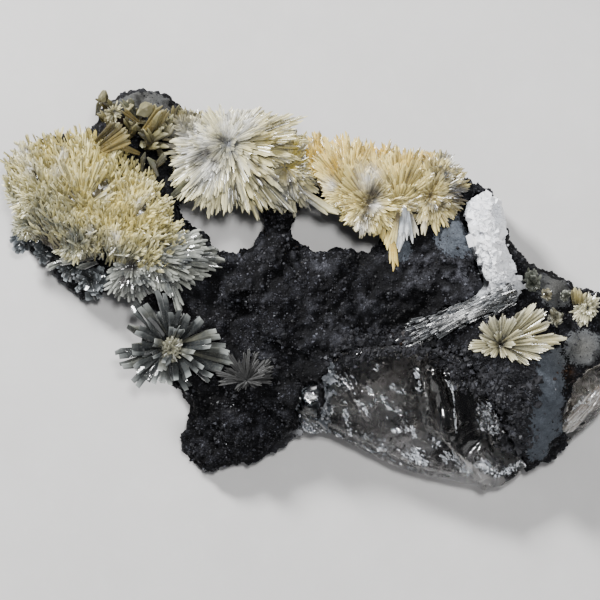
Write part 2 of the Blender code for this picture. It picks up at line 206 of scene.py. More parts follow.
# The rock, its grit and the vein share this effect of grain: mottling, fine specks and crumbled relief.
grain, given, gives = effect(
    "mineral grain", ("Low", "High", "Speck"), ("Scale", "Specks"), ("Height", "Speckle"))
fine_scale = maths(grain, "MULTIPLY", given["Scale"], 4.0)
place = put(grain, "ShaderNodeTexCoord").outputs["Object"]
mottle = cloudy(grain, given["Scale"], 9.0, 0.68)
crumbs = put(grain, "ShaderNodeTexVoronoi", Vector=place, Scale=fine_scale).outputs["Distance"]
fine = cloudy(grain, fine_scale, 6.0, 0.7)
tone = mixed(grain, spread(grain, mottle, 0.36, 0.66), given["Low"], given["High"])
speckle = maths(grain, "MULTIPLY", spread(grain, fine, 0.55, 0.72), given["Specks"])
relief = maths(grain, "ADD", mottle, maths(grain, "MULTIPLY", crumbs, 0.5))
relief = maths(grain, "ADD", relief, maths(grain, "MULTIPLY", fine, 0.4))
feed(grain, mixed(grain, speckle, tone, given["Speck"]), gives["Colour"])
feed(grain, relief, gives["Height"])
feed(grain, speckle, gives["Speckle"])


def grain_in(tree, low, high, speck, scale, specks):
    """Grain in a material: its darkest, palest and speck colour, how fine it is and how strong the specks."""
    return effect_in(tree, grain, Low=low, High=high, Speck=speck, Scale=scale, Specks=specks)


# Slate-blue patches, rusty stains, painted shade in the deep hollows, crevices and gaps under the crystals,
# and paler gravelly ground: across, down, reach.
SLATE_PLACES = [
    (456, 236, 26), (547, 362, 22), (544, 382, 24), (545, 402, 24), (545, 422, 26), (544, 444, 24),
    (556, 288, 24), (142, 99, 34), (168, 104, 18), (112, 98, 12), (36, 129, 16), (582, 348, 22),
    (400, 250, 14)]
GREY_PLACES = [(142, 99, 44), (168, 104, 26), (112, 98, 20), (36, 129, 24), (556, 288, 34), (582, 348, 30)]
RUST_PLACES = [(563, 373, 12), (396, 340, 10), (182, 118, 14), (118, 118, 14), (476, 352, 8)]
PALE_PLACES = [
    (322, 262, 13), (372, 308, 11), (366, 300, 8), (414, 284, 22), (460, 274, 22), (440, 284, 26),
    (424, 266, 20), (470, 284, 18), (404, 262, 16), (450, 262, 14), (500, 372, 22), (526, 360, 12),
    (480, 360, 12), (345, 340, 14), (315, 330, 12), (255, 240, 10)]
HOLLOW_SHADE_PLACES = [
    (405, 315, 28), (425, 300, 20), (210, 400, 20), (562, 418, 10), (152, 160, 22), (300, 375, 16),
    (175, 345, 44), (364, 258, 16), (376, 280, 13), (392, 330, 18), (352, 352, 10), (412, 340, 10),
    (186, 124, 16), (300, 410, 16), (328, 196, 16), (415, 228, 8)]
# Pale calcite lies behind the clear crystals, low in the rock, and shows through them.
BEHIND_PLACES = [
    (375, 395, 30), (345, 385, 20), (400, 440, 26), (440, 465, 26), (478, 466, 18), (492, 416, 14),
    (312, 428, 22), (582, 396, 30), (410, 356, 14), (390, 370, 16)]
BEHIND_TOP = 7.6
# Lumps that stand up from the rock and hollows in it: across, down, reach, and how far up or down.
LUMPS = [
    (556, 288, 14, 2.4), (530, 272, 9, 1.6), (150, 101, 20, 1.6), (125, 99, 14, 1.2), (36, 129, 10, 1.0),
    (405, 315, 24, -2.2), (430, 300, 16, -1.4), (457, 236, 16, 1.0), (300, 380, 14, -1.2),
    (186, 124, 12, -1.6), (581, 346, 14, 1.4), (366, 262, 12, -1.8), (378, 284, 10, -1.4),
    (392, 330, 14, -1.6), (371, 308, 9, 0.8), (152, 160, 14, -1.8), (562, 418, 7, -1.8), (340, 262, 12, 0.9),
    (285, 300, 12, 0.8), (255, 330, 12, 0.9), (320, 310, 10, 0.8), (235, 300, 10, 0.7), (215, 430, 14, 0.8)]
LUMPS_FROM, LUMPS_FULL = 6, 6
# The slate fades out at about this height, over this depth and along a wavy line.
SLATE_LOW, SLATE_FADE, SLATE_WAVE, SLATE_WAVE_SIZE = 10.0, 3, 5, 4
# The rock's broken relief, from the largest waves to the crumbs: how large each is and how far it goes.
WAVE_SIZE, BLOCK_SIZE, CRUMBLE_SIZE, CRUMB_SIZE = 5.2, 2.6, 1.5, 0.95
WAVE_LIFT, BLOCK_LIFT, CRUMBLE_LIFT, CRUMB_LIFT = 0.7, 1.5, 0.55, 0.75
DEEPEST, HIGHEST = -1.8, 0.95
SLATE_SMOOTHING = 0.85
FLAT_BACK, BACK_EDGE = 0.25, 1.5

rock_mesh = evenly_meshed(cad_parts["rock"].data, ROCK_SQUARE, "rock")
points = read_vectors(rock_mesh.vertices, "co") / MM
slate = nearness(points, SLATE_PLACES)
for i in np.flatnonzero(slate > 0.3):
    here = Vector(map(float, points[i]))
    wave = SLATE_WAVE * noise.noise(here / SLATE_WAVE_SIZE)
    slate[i] *= min(max((float(points[i, 2]) - SLATE_LOW + wave) / SLATE_FADE, 0), 1)
lift = np.zeros(len(points))
for i, point in enumerate(points):
    if point[2] < FLAT_BACK:
        continue
    here = Vector(map(float, point))
    block = noise.voronoi(here / BLOCK_SIZE)[0]
    crumb = noise.voronoi(here / CRUMB_SIZE + Vector((7, 3, 5)))[0]
    broken = BLOCK_LIFT * (0.5 - block[0]) + CRUMBLE_LIFT * noise.fractal(here / CRUMBLE_SIZE, 0.9, 2.1, 5)
    broken += CRUMB_LIFT * (0.45 - crumb[0])
    lift[i] = WAVE_LIFT * noise.noise(here / WAVE_SIZE) + (1 - SLATE_SMOOTHING * slate[i]) * broken
lift = np.clip(lift, DEEPEST, HIGHEST) * np.clip(points[:, 2] / BACK_EDGE, 0, 1)
points += read_vectors(rock_mesh.vertices, "normal") * lift[:, None]
for across, down, reach, rise in LUMPS:
    share = np.clip((points[:, 2] - LUMPS_FROM) / LUMPS_FULL, 0, 1)
    points[:, 2] += rise * nearness(points, [(across, down, reach)]) * share
points[:, 2] = np.maximum(points[:, 2], 0.0)
shaped(rock_mesh, points)
with_values(
    rock_mesh,
    slate=slate,
    grey=nearness(points, GREY_PLACES),
    rust=nearness(points, RUST_PLACES),
    pale=nearness(points, PALE_PLACES),
    black=nearness(points, HOLLOW_SHADE_PLACES),
    raised=np.clip(0.5 + lift * 0.8, 0, 1),
    behind=nearness(points, BEHIND_PLACES) * (points[:, 2] < BEHIND_TOP),
)

# The grains of the rock's places: darkest, palest and speck colour, how fine, and how strong the specks.
ROCK_GRAINS = [
    ((0.0008, 0.0008, 0.0011), (0.006, 0.006, 0.008), (0.10, 0.105, 0.13), 620.0, 0.75),
    ((0.052, 0.060, 0.072), (0.088, 0.101, 0.120), (0.15, 0.165, 0.19), 900.0, 0.4),
    ((0.050, 0.050, 0.048), (0.088, 0.088, 0.083), (0.18, 0.18, 0.17), 900.0, 0.4),
    ((0.02, 0.008, 0.003), (0.09, 0.04, 0.012), (0.22, 0.13, 0.06), 700.0, 0.35),
    ((0.008, 0.008, 0.010), (0.068, 0.070, 0.082), (0.20, 0.205, 0.24), 760.0, 0.8),
    ((0.05, 0.05, 0.055), (0.60, 0.61, 0.64), (0.9, 0.9, 0.92), 230.0, 0.5)]
# The crest grey is a painted highlight on raised crests, and the hollow black is painted shade.
CREST_HIGHLIGHT_GREY = (0.13, 0.137, 0.17)
PAINTED_SHADE_BLACK = (0.0012, 0.0012, 0.0016)
rock_look, tree, shader = new_material("granular dark rock")
ground, slaty, neutral, rusty, gravel, backing = (grain_in(tree, *colours) for colours in ROCK_GRAINS)
raised = stored(tree, "raised")
clumps = spread(tree, cloudy(tree, 260.0, 3.0), 0.52, 0.66)
# Raised crests are painted a paler grey as a highlight, broken up by the specks.
lit_crests = maths(tree, "MULTIPLY", spread(tree, raised, 0.5, 0.9), ground["Speckle"])
ragged = maths(tree, "ADD", stored(tree, "slate"), maths(tree, "MULTIPLY", ground["Height"], 0.6))
colour = laid_over(tree, stored(tree, "pale"), 0.8, ground["Colour"], gravel["Colour"])
colour = laid_over(tree, spread(tree, stored(tree, "rust"), 0.2, 0.9), 0.5, colour, rusty["Colour"])
colour = laid_over(tree, clumps, 0.38, colour, gravel["Colour"])
colour = laid_over(tree, lit_crests, 0.36, colour, CREST_HIGHLIGHT_GREY)
# Low hollows and the shaded places are painted near-black as shade.
colour = laid_over(tree, spread(tree, raised, 0.66, 0.2), 0.85, colour, PAINTED_SHADE_BLACK)
colour = laid_over(tree, stored(tree, "black"), 0.9, colour, PAINTED_SHADE_BLACK)
smooth_ground = mixed(tree, stored(tree, "grey"), slaty["Colour"], neutral["Colour"])
colour = mixed(tree, spread(tree, ragged, 1.0, 1.05), colour, smooth_ground)
colour = mixed(tree, stored(tree, "behind"), colour, backing["Colour"])
feed(tree, colour, shader.inputs["Base Color"])
feed(tree, spread(tree, ground["Speckle"], 1.4, -0.4), shader.inputs["Roughness"])
feed(tree, bumped(tree, ground["Height"], 0.8, 0.35), shader.inputs["Normal"])
shader.inputs["Specular IOR Level"].default_value = 0.14
rock = piece("rock_body", rock_mesh, rock_look, smooth=True)
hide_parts("rock")
bpy.context.view_layer.update()


def surface_of(made):
    """A made piece's surface, to find heights on."""
    return BVHTree.FromObject(made, bpy.context.evaluated_depsgraph_get())


rock_surface = surface_of(rock)
ABOVE_ALL = 100


def height_on(surface, x, y, missing):
    """The height at which a straight drop at a place meets a surface, in millimetres."""
    hit = surface.ray_cast(Vector((x * MM, y * MM, ABOVE_ALL * MM)), Vector((0, 0, -1)))[0]
    return missing if hit is None else hit.z / MM


def ground_at(x, y, missing=0.0):
    """The height of the rock's face at a place, in millimetres."""
    return height_on(rock_surface, x, y, missing)


# Loose-looking grit: small angular grains of the same rock that stand on its face between the crystals, some
# of them glassy. They are part of the rock, and they give it its sugary sparkle.
GRIT_COUNT = 14000
GRIT_SHAPE, GRIT_SCALE, GRIT_LEAST = 2.2, 0.075, 0.08
GRIT_LOWEST, GRIT_FLOOR = 1.5, 0.02
OCTAHEDRON = np.array([(1, 0, 0), (0, 1, 0), (-1, 0, 0), (0, -1, 0), (0, 0, 1), (0, 0, -1)], dtype=float)
OCTAHEDRON_FACES = [(0, 1, 4), (1, 2, 4), (2, 3, 4), (3, 0, 4), (1, 0, 5), (2, 1, 5), (3, 2, 5), (0, 3, 5)]


def many(name, corners, faces, **values):
    """One mesh from many like bodies: the corners of each, in millimetres, and the faces of one body."""
    count, size = corners.shape[:2]
    mesh = bpy.data.meshes.new(name)
    every = [tuple(base + i for i in face) for base in range(0, count * size, size) for face in faces]
    mesh.from_pydata((corners.reshape(-1, 3) * MM).tolist(), [], every)
    with_values(mesh, **values)
    return mesh


def turned(count, chance):
    """Random rotations, as matrices."""
    first = chance.normal(size=(count, 3))
    first /= np.linalg.norm(first, axis=1)[:, None]
    second = np.cross(first, chance.normal(size=(count, 3)))
    second /= np.linalg.norm(second, axis=1)[:, None]
    return np.stack([first, second, np.cross(first, second)], axis=1)


def grains(chance, seats, sizes):
    """The corners of angular grains: uneven octahedra of these sizes, turned every way, at these seats."""
    shapes = OCTAHEDRON[None] * chance.uniform(0.5, 1.25, (len(seats), 6, 1)) * sizes[:, None, None]
    return np.einsum("bij,bkj->bki", turned(len(seats), chance), shapes) + seats[:, None]


roll = np.random.default_rng(5)
rock_faces = np.array([poly.vertices[:3] for poly in rock_mesh.polygons])
face_normals = read_vectors(rock_mesh.polygons, "normal")
middles = points[rock_faces].mean(axis=1)
open_faces = np.flatnonzero((middles[:, 2] > GRIT_LOWEST) & (face_normals[:, 2] > -0.5))
picked = roll.choice(open_faces, GRIT_COUNT)
not_slate = 1 - nearness(middles[picked], SLATE_PLACES)
picked = picked[roll.random(GRIT_COUNT) < 0.1 + 0.9 * not_slate]
grit_sizes = roll.gamma(GRIT_SHAPE, GRIT_SCALE, len(picked)) + GRIT_LEAST
grit_seats = middles[picked] + face_normals[picked] * (grit_sizes * 0.1)[:, None]
grit_corners = grains(roll, grit_seats, grit_sizes)
grit_corners[:, :, 2] = np.maximum(grit_corners[:, :, 2], GRIT_FLOOR)
grit_mesh = many(
    "grit", grit_corners, OCTAHEDRON_FACES,
    tint=np.repeat(roll.random(len(picked)), 6),
    pale=np.repeat(nearness(grit_seats, PALE_PLACES), 6),
    black=np.repeat(nearness(grit_seats, HOLLOW_SHADE_PLACES), 6),
    rust=np.repeat(nearness(grit_seats, RUST_PLACES), 6))

grit_look, tree, shader = new_material("angular grit")
grey = grain_in(tree, (0.002, 0.002, 0.003), (0.014, 0.014, 0.018), (0.13, 0.14, 0.17), 900.0, 0.4)
paler = maths(tree, "ADD", stored(tree, "tint"), maths(tree, "MULTIPLY", stored(tree, "pale"), 0.35))
colour = mixed(tree, spread(tree, paler, 0.7, 1.5), grey["Colour"], (0.14, 0.145, 0.175))
colour = laid_over(tree, stored(tree, "rust"), 0.6, colour, (0.07, 0.032, 0.012))
# Grit in the shaded places is painted near-black as shade.
colour = laid_over(tree, stored(tree, "black"), 0.85, colour, (0.002, 0.002, 0.002))
feed(tree, colour, shader.inputs["Base Color"])
feed(tree, spread(tree, stored(tree, "tint"), 1.4, 0.35), shader.inputs["Roughness"])
piece("rock_grit", grit_mesh, grit_look)

# Aragonite blades: flat, six-sided needles that widen from the root and end in a slanting chisel point. A
# few that grew side by side make a petal with a stepped end, and a spray is many petals round one seat.
# Where they are yellow or grey depends on where they grow; their white patches are partly whiter blades and
# partly painted glints, and their dark places are painted shade in pits and between blades: across, down,
# reach.
WARM_PLACES = [
    (100, 165, 40), (60, 152, 26), (88, 192, 30), (122, 215, 36), (95, 140, 22), (150, 215, 20),
    (268, 138, 26), (296, 152, 26), (262, 166, 16), (325, 152, 16), (336, 144, 20), (405, 156, 18),
    (360, 138, 12), (384, 148, 12), (334, 168, 12), (426, 154, 10), (394, 272, 10), (314, 146, 20),
    (374, 150, 24), (262, 205, 14), (140, 190, 22), (300, 172, 18)]
COOL_PLACES = [
    (48, 218, 30), (72, 238, 24), (24, 236, 18), (100, 250, 18), (122, 264, 22), (142, 284, 24),
    (165, 282, 16), (190, 262, 26), (214, 254, 24), (226, 148, 16), (205, 158, 16), (202, 182, 14),
    (288, 198, 22), (304, 210, 16), (232, 200, 9), (375, 197, 15), (454, 190, 20), (456, 214, 16),
    (430, 200, 12), (410, 212, 14), (366, 216, 12), (404, 238, 14), (454, 172, 27), (446, 162, 18),
    (438, 206, 16), (460, 196, 22), (12, 196, 10), (416, 338, 24), (438, 330, 12)]
WHITE_AND_GLINT_PLACES = [
    (62, 153, 6), (30, 166, 7), (57, 170, 6), (20, 148, 9), (105, 194, 6), (141, 202, 6), (115, 236, 6),
    (195, 140, 18), (186, 158, 13), (212, 172, 13), (240, 121, 18), (228, 128, 12), (246, 168, 5),
    (375, 208, 6), (455, 160, 6), (361, 229, 9), (406, 234, 9), (368, 178, 12), (330, 186, 7), (92, 231, 4),
    (420, 232, 10), (466, 315, 10), (452, 322, 6)]
BLADE_SHADE_PLACES = [
    (101, 187, 11), (36, 176, 6), (72, 197, 7), (143, 210, 7), (60, 152, 3), (131, 264, 8), (122, 283, 7),
    (207, 153, 8), (216, 162, 5), (199, 160, 4), (222, 140, 4), (254, 167, 6), (277, 179, 6), (237, 188, 5),
    (281, 147, 6), (262, 184, 5), (288, 182, 5), (372, 194, 8), (410, 175, 4), (414, 190, 4), (369, 209, 5),
    (441, 206, 5), (465, 197, 15), (388, 178, 3), (86, 260, 7), (46, 238, 7)]
# A blade's section, across its flat and through it. The finest blades are drawn with four sides.
SIX_SIDES = [(1, 0), (0.5, 1), (-0.5, 1), (-1, 0), (-0.5, -1), (0.5, -1)]
FOUR_SIDES = [(1, 0), (0, 1), (-1, 0), (0, -1)]
ROOT_WIDTH, ROOT_THICKNESS, TIP_THICKNESS = 0.5, 0.6, 0.3
ROOT_SCATTER, TIP_SCATTER = 0.05, 0.14
OUTER_SHORTER = 0.2
BLADE_ROLL = 0.3
CHISEL_SLANT = 0.4
# A petal leaves its spray's seat at this share of its length, and the rows overlap by the rest of this one.
PETAL_START, PETAL_SPACING = 0.06, 0.85
# How wide petals are at their root in a spray and in a carpet, as a share of their width.
SPRAY_ROOT, CARPET_ROOT = 0.3, 0.45
SHORTEST_PETAL = 0.7
NO_GROUND = -9
DEEPEST_TIP, LOWEST_HANGING, TIP_CLEARANCE = 2.5, 3.2, 0.2
CARPET_SLOPE, CARPET_WAVE, CARPET_WAVE_SIZE = 6.5, 0.9, 3.4
CARPET_START = 0.3


def blades(name, petals, chance, fine=0.5, thin=0.4, wander=0.07, ends=0.25, cuts=(), sides=SIX_SIDES):
    """One mesh of petals. Each has two ends, its width at both, its lean, and a tone for its own stain."""
    rows = []
    for start, end, narrow, wide, lean, tone in petals:
        start, end = Vector(start), Vector(end)
        way = (end - start).normalized()
        side = way.cross(Vector((0, 0, 1)))
        side = side.normalized() if side.length > 0.05 else Vector((1, 0, 0))
        turn = math.radians(lean)
        side = side * math.cos(turn) + way.cross(side) * math.sin(turn)
        up = side.cross(way)
        count = max(1, round(wide / fine))
        for k in range(count):
            place = (k + 0.5) / count - 0.5
            shorter = OUTER_SHORTER * (2 * abs(place)) ** 2 * (count > 1) + abs(chance.normal(0, wander))
            root = start + side * (place * narrow) + up * chance.normal(0, ROOT_SCATTER)
            tip = end + side * (place * wide) - way * ((end - start).length * shorter)
            tip += up * chance.normal(0, TIP_SCATTER)
            rows.append((*root, *tip, *side, wide / count * chance.uniform(1.0, 1.6), tone))
    table = np.array(rows)
    roots, tips, across, widths = table[:, 0:3], table[:, 3:6], table[:, 6:9], table[:, 9]
    ways = tips - roots
    lengths = np.linalg.norm(ways, axis=1)
    ways /= lengths[:, None]
    rolled = chance.normal(0, BLADE_ROLL, len(rows))
    flats = across * np.cos(rolled)[:, None] + np.cross(across, ways) * np.sin(rolled)[:, None]
    flats -= ways * (flats * ways).sum(axis=1)[:, None]
    flats /= np.linalg.norm(flats, axis=1)[:, None]
    outs = np.cross(ways, flats)
    chisel = np.clip(1 - widths / lengths * chance.uniform(0.9, 1.8, len(rows)), 0.6, 0.96)
    slant = chance.uniform(-CHISEL_SLANT, CHISEL_SLANT, len(rows)) * widths
    rings = [(0, ROOT_WIDTH, ROOT_THICKNESS)]
    for cut in cuts:
        rings.append((cut, ROOT_WIDTH + (1 - ROOT_WIDTH) * cut, ROOT_THICKNESS + (1 - ROOT_THICKNESS) * cut))
    rings += [(chisel, 1.0, 1.0), (1, ends, TIP_THICKNESS)]
    last, around = len(rings) - 1, len(sides)
    size = len(rings) * around
    corners = np.empty((len(rows), size, 3))
    share = np.empty((len(rows), size))
    for ring, (reach, wide, thick) in enumerate(rings):
        for k, (a, b) in enumerate(np.array(sides) * 0.5):
            out = ways * (lengths * reach)[:, None] + flats * (widths * wide * a)[:, None]
            out = out + outs * (widths * thin * thick * b)[:, None]
            corners[:, ring * around + k] = roots + out + flats * (slant * (ring == last))[:, None]
            share[:, ring * around + k] = reach
    faces = [tuple(range(around)), tuple(size - 1 - k for k in range(around))]
    for first in range(0, last * around, around):
        for k, after in zip(range(around), (*range(1, around), 0)):
            faces.append((first + k, first + around + k, first + around + after, first + after))
    places = corners.reshape(-1, 3)
    tones = np.repeat(table[:, 10], size)
    return many(
        name, corners, faces, along=share,
        tint=np.repeat(chance.random(len(rows)), size),
        warm=np.clip(nearness(places, WARM_PLACES) + np.maximum(tones, 0), 0, 1),
        cool=np.clip(nearness(places, COOL_PLACES) + np.maximum(-tones, 0), 0, 1),
        white=nearness(places, WHITE_AND_GLINT_PLACES),
        dark=nearness(places, BLADE_SHADE_PLACES))


def blade_piece(name, petals, chance, look, slot, **form):
    """One visible piece of blades."""
    return piece(name, blades(name, petals, chance, **form), look)


def spray(chance, seat, reaches, width, rows, rises, shares, tone=0.0, keep=1.0):
    """The petals of one spray. Its seat is across, down and height. Its reaches say how far the petals go at
    each angle, anticlockwise from the right. The rows of petals rise and get shorter from the lowest to the
    top one."""
    seat = Vector((*spot(seat[0], seat[1]), seat[2]))
    least = min(reaches)
    angles = [*reaches, least + 360]
    far = [reach / FIFTHS for reach in (*reaches.values(), reaches[least])]
    made = []
    for row in range(rows):
        level = row / (rows - 1)
        rise = rises[0] + (rises[1] - rises[0]) * level
        share = shares[0] + (shares[1] - shares[0]) * level
        turn = chance.uniform(0, 360)
        stop = turn + 360
        while turn < stop:
            angle = (turn - least) % 360 + least
            size = np.interp(angle, angles, far) * share
            wide = width * chance.uniform(0.65, 1.35)
            turn += math.degrees(wide * PETAL_SPACING / max(size, 1.0))
            if chance.random() > keep or size < SHORTEST_PETAL:
                continue
            size *= chance.uniform(0.84, 1.02)
            tilt = math.tan(math.radians(rise + chance.normal(0, 6)))
            way = Vector((math.cos(math.radians(angle)), math.sin(math.radians(angle)), tilt))
            tip = seat + way * size
            ground = ground_at(tip.x, tip.y, NO_GROUND)
            if tip.z < ground - DEEPEST_TIP or (ground < 0 and tip.z < seat.z - LOWEST_HANGING):
                continue
            tip.z = max(tip.z, ground + TIP_CLEARANCE)
            start = seat + (tip - seat) * PETAL_START
            made.append((start, tip, wide * SPRAY_ROOT, wide, chance.normal(0, 14), tone))
    return made


def sprays(chance, seats):
    """The petals of sprays that grew together. Each row says what one spray is given."""
    return [petal for seat in seats for petal in spray(chance, *seat)]


def inside(x, y, corners):
    """Whether a place lies inside an outline."""
    crossings = 0
    for (x1, y1), (x2, y2) in zip(corners, corners[1:] + corners[:1]):
        if (y1 > y) != (y2 > y) and x < (x2 - x1) * (y - y1) / (y2 - y1) + x1:
            crossings += 1
    return crossings % 2 == 1


def from_edge(x, y, corners):
    """How far a place is from the nearest quarter point of an outline's sides."""
    sides = zip(corners, corners[1:] + corners[:1])
    return min(math.hypot(x - (x1 + (x2 - x1) * share), y - (y1 + (y2 - y1) * share))
               for (x1, y1), (x2, y2) in sides for share in (0, 0.25, 0.5, 0.75))


def carpet(chance, outline, heights, spacing, width, lengths, origin, scatter, tilts, keep=1.0):
    """Petals that stand close together inside an outline, higher in its middle, and lean away from one
    place."""
    from_x, from_y = spot(*origin)
    corners = [spot(*place) for place in outline]
    xs, ys = zip(*corners)
    made = []
    for x in np.arange(min(xs), max(xs), spacing):
        for y in np.arange(min(ys), max(ys), spacing):
            px, py = x + chance.normal(0, spacing * 0.35), y + chance.normal(0, spacing * 0.35)
            if not inside(px, py, corners) or chance.random() > keep:
                continue
            inward = min(from_edge(px, py, corners) / CARPET_SLOPE, 1)
            base = heights[0] + (heights[1] - heights[0]) * math.sin(inward * math.pi / 2)
            wave = CARPET_WAVE * noise.noise(Vector((px, py, 3)) / CARPET_WAVE_SIZE)
            base += chance.normal(0, 0.3) + wave
            turn = math.atan2(py - from_y, px - from_x) + math.radians(chance.normal(0, scatter))
            tilt = math.radians(chance.uniform(*tilts))
            size = chance.uniform(*lengths)
            root = Vector((px, py, base))
            way = Vector((math.cos(turn) * math.cos(tilt), math.sin(turn) * math.cos(tilt), math.sin(tilt)))
            tip = root + way * size
            wide = width * chance.uniform(0.65, 1.35)
            tone = chance.normal(0, 0.15)
            start = root - (tip - root) * CARPET_START
            made.append((start, tip, wide * CARPET_ROOT, wide, chance.normal(0, 20), tone))
    return made


def open_at(petals, pits):
    """Leaves out the petals that would cross some pits, so that they stay open: across, down, reach."""
    kept = []
    for petal in petals:
        root, tip = np.array(petal[0]), np.array(petal[1])
        way = (root + np.linspace(0.35, 1, 6)[:, None] * (tip - root))[:, :2]
        crossed = [np.linalg.norm(way - spot(across, down), axis=1).min() * FIFTHS < reach
                   for across, down, reach in pits]
        if not any(crossed):
            kept.append(petal)
    return kept


def petals_at(chance, rows, root=0.35):
    """Single petals. A row: the root, the tip, each as across, down, height, the width in fifths, the tone."""
    made = []
    for across, down, height, far_across, far_down, far_height, width, tone in rows:
        start, end = (*spot(across, down), height), (*spot(far_across, far_down), far_height)
        made.append((start, end, width / FIFTHS * root, width / FIFTHS, chance.normal(0, 10), tone))
    return made


HEART_SQUARE, HEART_LUMP_SIZE, HEART_LUMPS = 0.6, 1.6, 0.5


def heart(name, balls, level, material):
    """The grown-together middle of a spray, under its blades: across, down, height, radius and how flat."""
    shape = bmesh.new()
    for across, down, height, radius, flat in balls:
        middle = Vector((*spot(across, down), height))
        for corner in bmesh.ops.create_icosphere(shape, subdivisions=3, radius=1)["verts"]:
            corner.co = (middle + Vector((corner.co.x, corner.co.y, corner.co.z * flat)) * radius) * MM
    raw = bpy.data.meshes.new(name)
    shape.to_mesh(raw)
    shape.free()
    mesh = evenly_meshed(raw, HEART_SQUARE, name)
    here = read_vectors(mesh.vertices, "co") / MM
    rough = np.array([noise.fractal(Vector(map(float, p)) / HEART_LUMP_SIZE, 0.8, 2.0, 3) for p in here])
    here += read_vectors(mesh.vertices, "normal") * (HEART_LUMPS * rough)[:, None]
    here[:, 2] = np.maximum(here[:, 2], level)
    shaped(mesh, here)
    same = np.ones(len(here))
    # The heart lies under the blades and is painted in shade: the root colour, darkened nearly to the pit
    # shade.
    with_values(mesh, along=same * 0.15, tint=same * 0.3, warm=nearness(here, WARM_PLACES),
                cool=nearness(here, COOL_PLACES), white=same * 0, dark=same * 0.85)
    return piece(name, mesh, material, smooth=True)


# Blade colouring is shared by all the sprays: greyer, glassier and darker at the root, where the dark is also
# painted shade deep among the blades, the body colour, a paler tip, then the stains and the greys of the
# places where it grows, fine growth lines along the blade, white patches that are partly painted glints, and
# painted shade at the shaded places and pits.
# The white is partly a painted glint, and the near-black is painted shade in pits and between blades.
GROWTH_LINE, WHITE_AND_GLINT_BLADE, PIT_SHADE = (0.92, 0.88, 0.70), (0.88, 0.88, 0.86), (0.022, 0.018, 0.020)
colouring, given, gives = effect(
    "blade colouring", ("Root", "Body", "Tip", "Stain", "Cool"), ("Variety", "Streak"),
    ("Roughness", "Height"))
along = stored(colouring, "along")
cloud = cloudy(colouring, 330.0, 5.0, 0.6)
lines = cloudy(colouring, 2600.0, 3.0, 0.6)
# The dark root colour is partly the blades' own greyer, glassier roots and partly painted shade deep among
# them.
tone = mixed(colouring, spread(colouring, along, 0.22, 0.8), given["Root"], given["Body"])
tone = mixed(colouring, spread(colouring, along, 0.8, 1.0), tone, given["Tip"])
warm_cloud, cool_cloud = spread(colouring, cloud, 0.28, 0.6), spread(colouring, cloud, 0.72, 0.45)
tone = laid_over(colouring, stored(colouring, "warm"), warm_cloud, tone, given["Stain"])
tone = laid_over(colouring, stored(colouring, "cool"), cool_cloud, tone, given["Cool"])
darker = spread(colouring, stored(colouring, "tint"), 0.6, 0.0)
tone = laid_over(colouring, darker, given["Variety"], tone, given["Root"])
tone = laid_over(colouring, spread(colouring, lines, 0.5, 0.75), given["Streak"], tone, GROWTH_LINE)
# White patches are partly whiter blades and partly painted glints.
tone = laid_over(colouring, stored(colouring, "white"), spread(colouring, cloud, 0.3, 0.6), tone, WHITE_AND_GLINT_BLADE)
# The shaded places and pits are painted nearly black as shade.
tone = laid_over(colouring, stored(colouring, "dark"), 0.92, tone, PIT_SHADE)
feed(colouring, tone, gives["Colour"])
feed(colouring, spread(colouring, lines, -0.2, 1.6), gives["Roughness"])
feed(colouring, lines, gives["Height"])
ARAGONITE_IOR = 1.6


def blade_look(name, root, body, tip, stain, cool, variety=0.9, gloss=0.3, clear=0.0, glow=0.1, streak=0.15):
    """The look of some blades: their own colours, and how varied, glossy, clear, glowing and lined they
    are."""
    made, tree, shader = new_material(name)
    worn = effect_in(tree, colouring, Root=root, Body=body, Tip=tip, Stain=stain, Cool=cool,
                     Variety=variety, Streak=streak)
    feed(tree, worn["Colour"], shader.inputs["Base Color"])
    feed(tree, maths(tree, "MULTIPLY", worn["Roughness"], gloss * 2), shader.inputs["Roughness"])
    feed(tree, bumped(tree, worn["Height"], 0.25, 0.08), shader.inputs["Normal"])
    shader.inputs["IOR"].default_value = ARAGONITE_IOR
    shader.inputs["Transmission Weight"].default_value = clear
    shader.inputs["Subsurface Weight"].default_value = glow
    shader.inputs["Subsurface Radius"].default_value = (1.0, 1.0, 0.7)
    shader.inputs["Subsurface Scale"].default_value = 0.8 * MM
    return made


# The left spray: a dense carpet of fine cream-yellow blades from three large seats and some small ones. Most
# of its blades point up the face; along its lower side it is greyer, and small pits, painted dark as shade,
# show
# between the seats. Each seat: its place, how far its petals reach at each angle, their width, how many rows,
# how steeply the lowest and the top row rise, how long they are, and where it needs them its tone and the
# share of petals that is kept.
LEFT_SEATS = [
    ((42, 196, 13.6), {0: 30, 30: 44, 60: 60, 90: 62, 120: 62, 150: 48, 180: 44, 210: 40, 240: 30, 270: 24,
                       315: 24}, 0.7, 9, (-10, 56), (1, 0.16)),
    ((82, 207, 14.2), {0: 45, 45: 72, 60: 84, 90: 83, 120: 80, 150: 52, 180: 40, 225: 45, 270: 32, 315: 35},
     0.7, 11, (-6, 52), (1, 0.14))]
LEFT_LOW_SEATS = [
    ((128, 224, 14.0), {0: 46, 30: 56, 60: 62, 90: 62, 120: 60, 150: 45, 180: 40, 225: 40, 270: 36, 315: 42},
     0.7, 10, (-8, 54), (1, 0.15)),
    ((28, 224, 11.6), {0: 26, 90: 26, 180: 22, 270: 20}, 0.8, 5, (-10, 50), (1, 0.3), -0.5),
    ((78, 240, 12.0), {0: 30, 90: 26, 180: 34, 225: 30, 270: 26, 315: 26}, 0.8, 5, (-12, 48), (1, 0.3), -0.2)]
LEFT_OUTLINE = [
    (8, 160), (22, 146), (52, 138), (84, 134), (118, 146), (146, 176), (166, 204), (182, 234), (184, 262),
    (152, 278), (104, 262), (66, 252), (34, 238), (14, 212), (4, 184)]
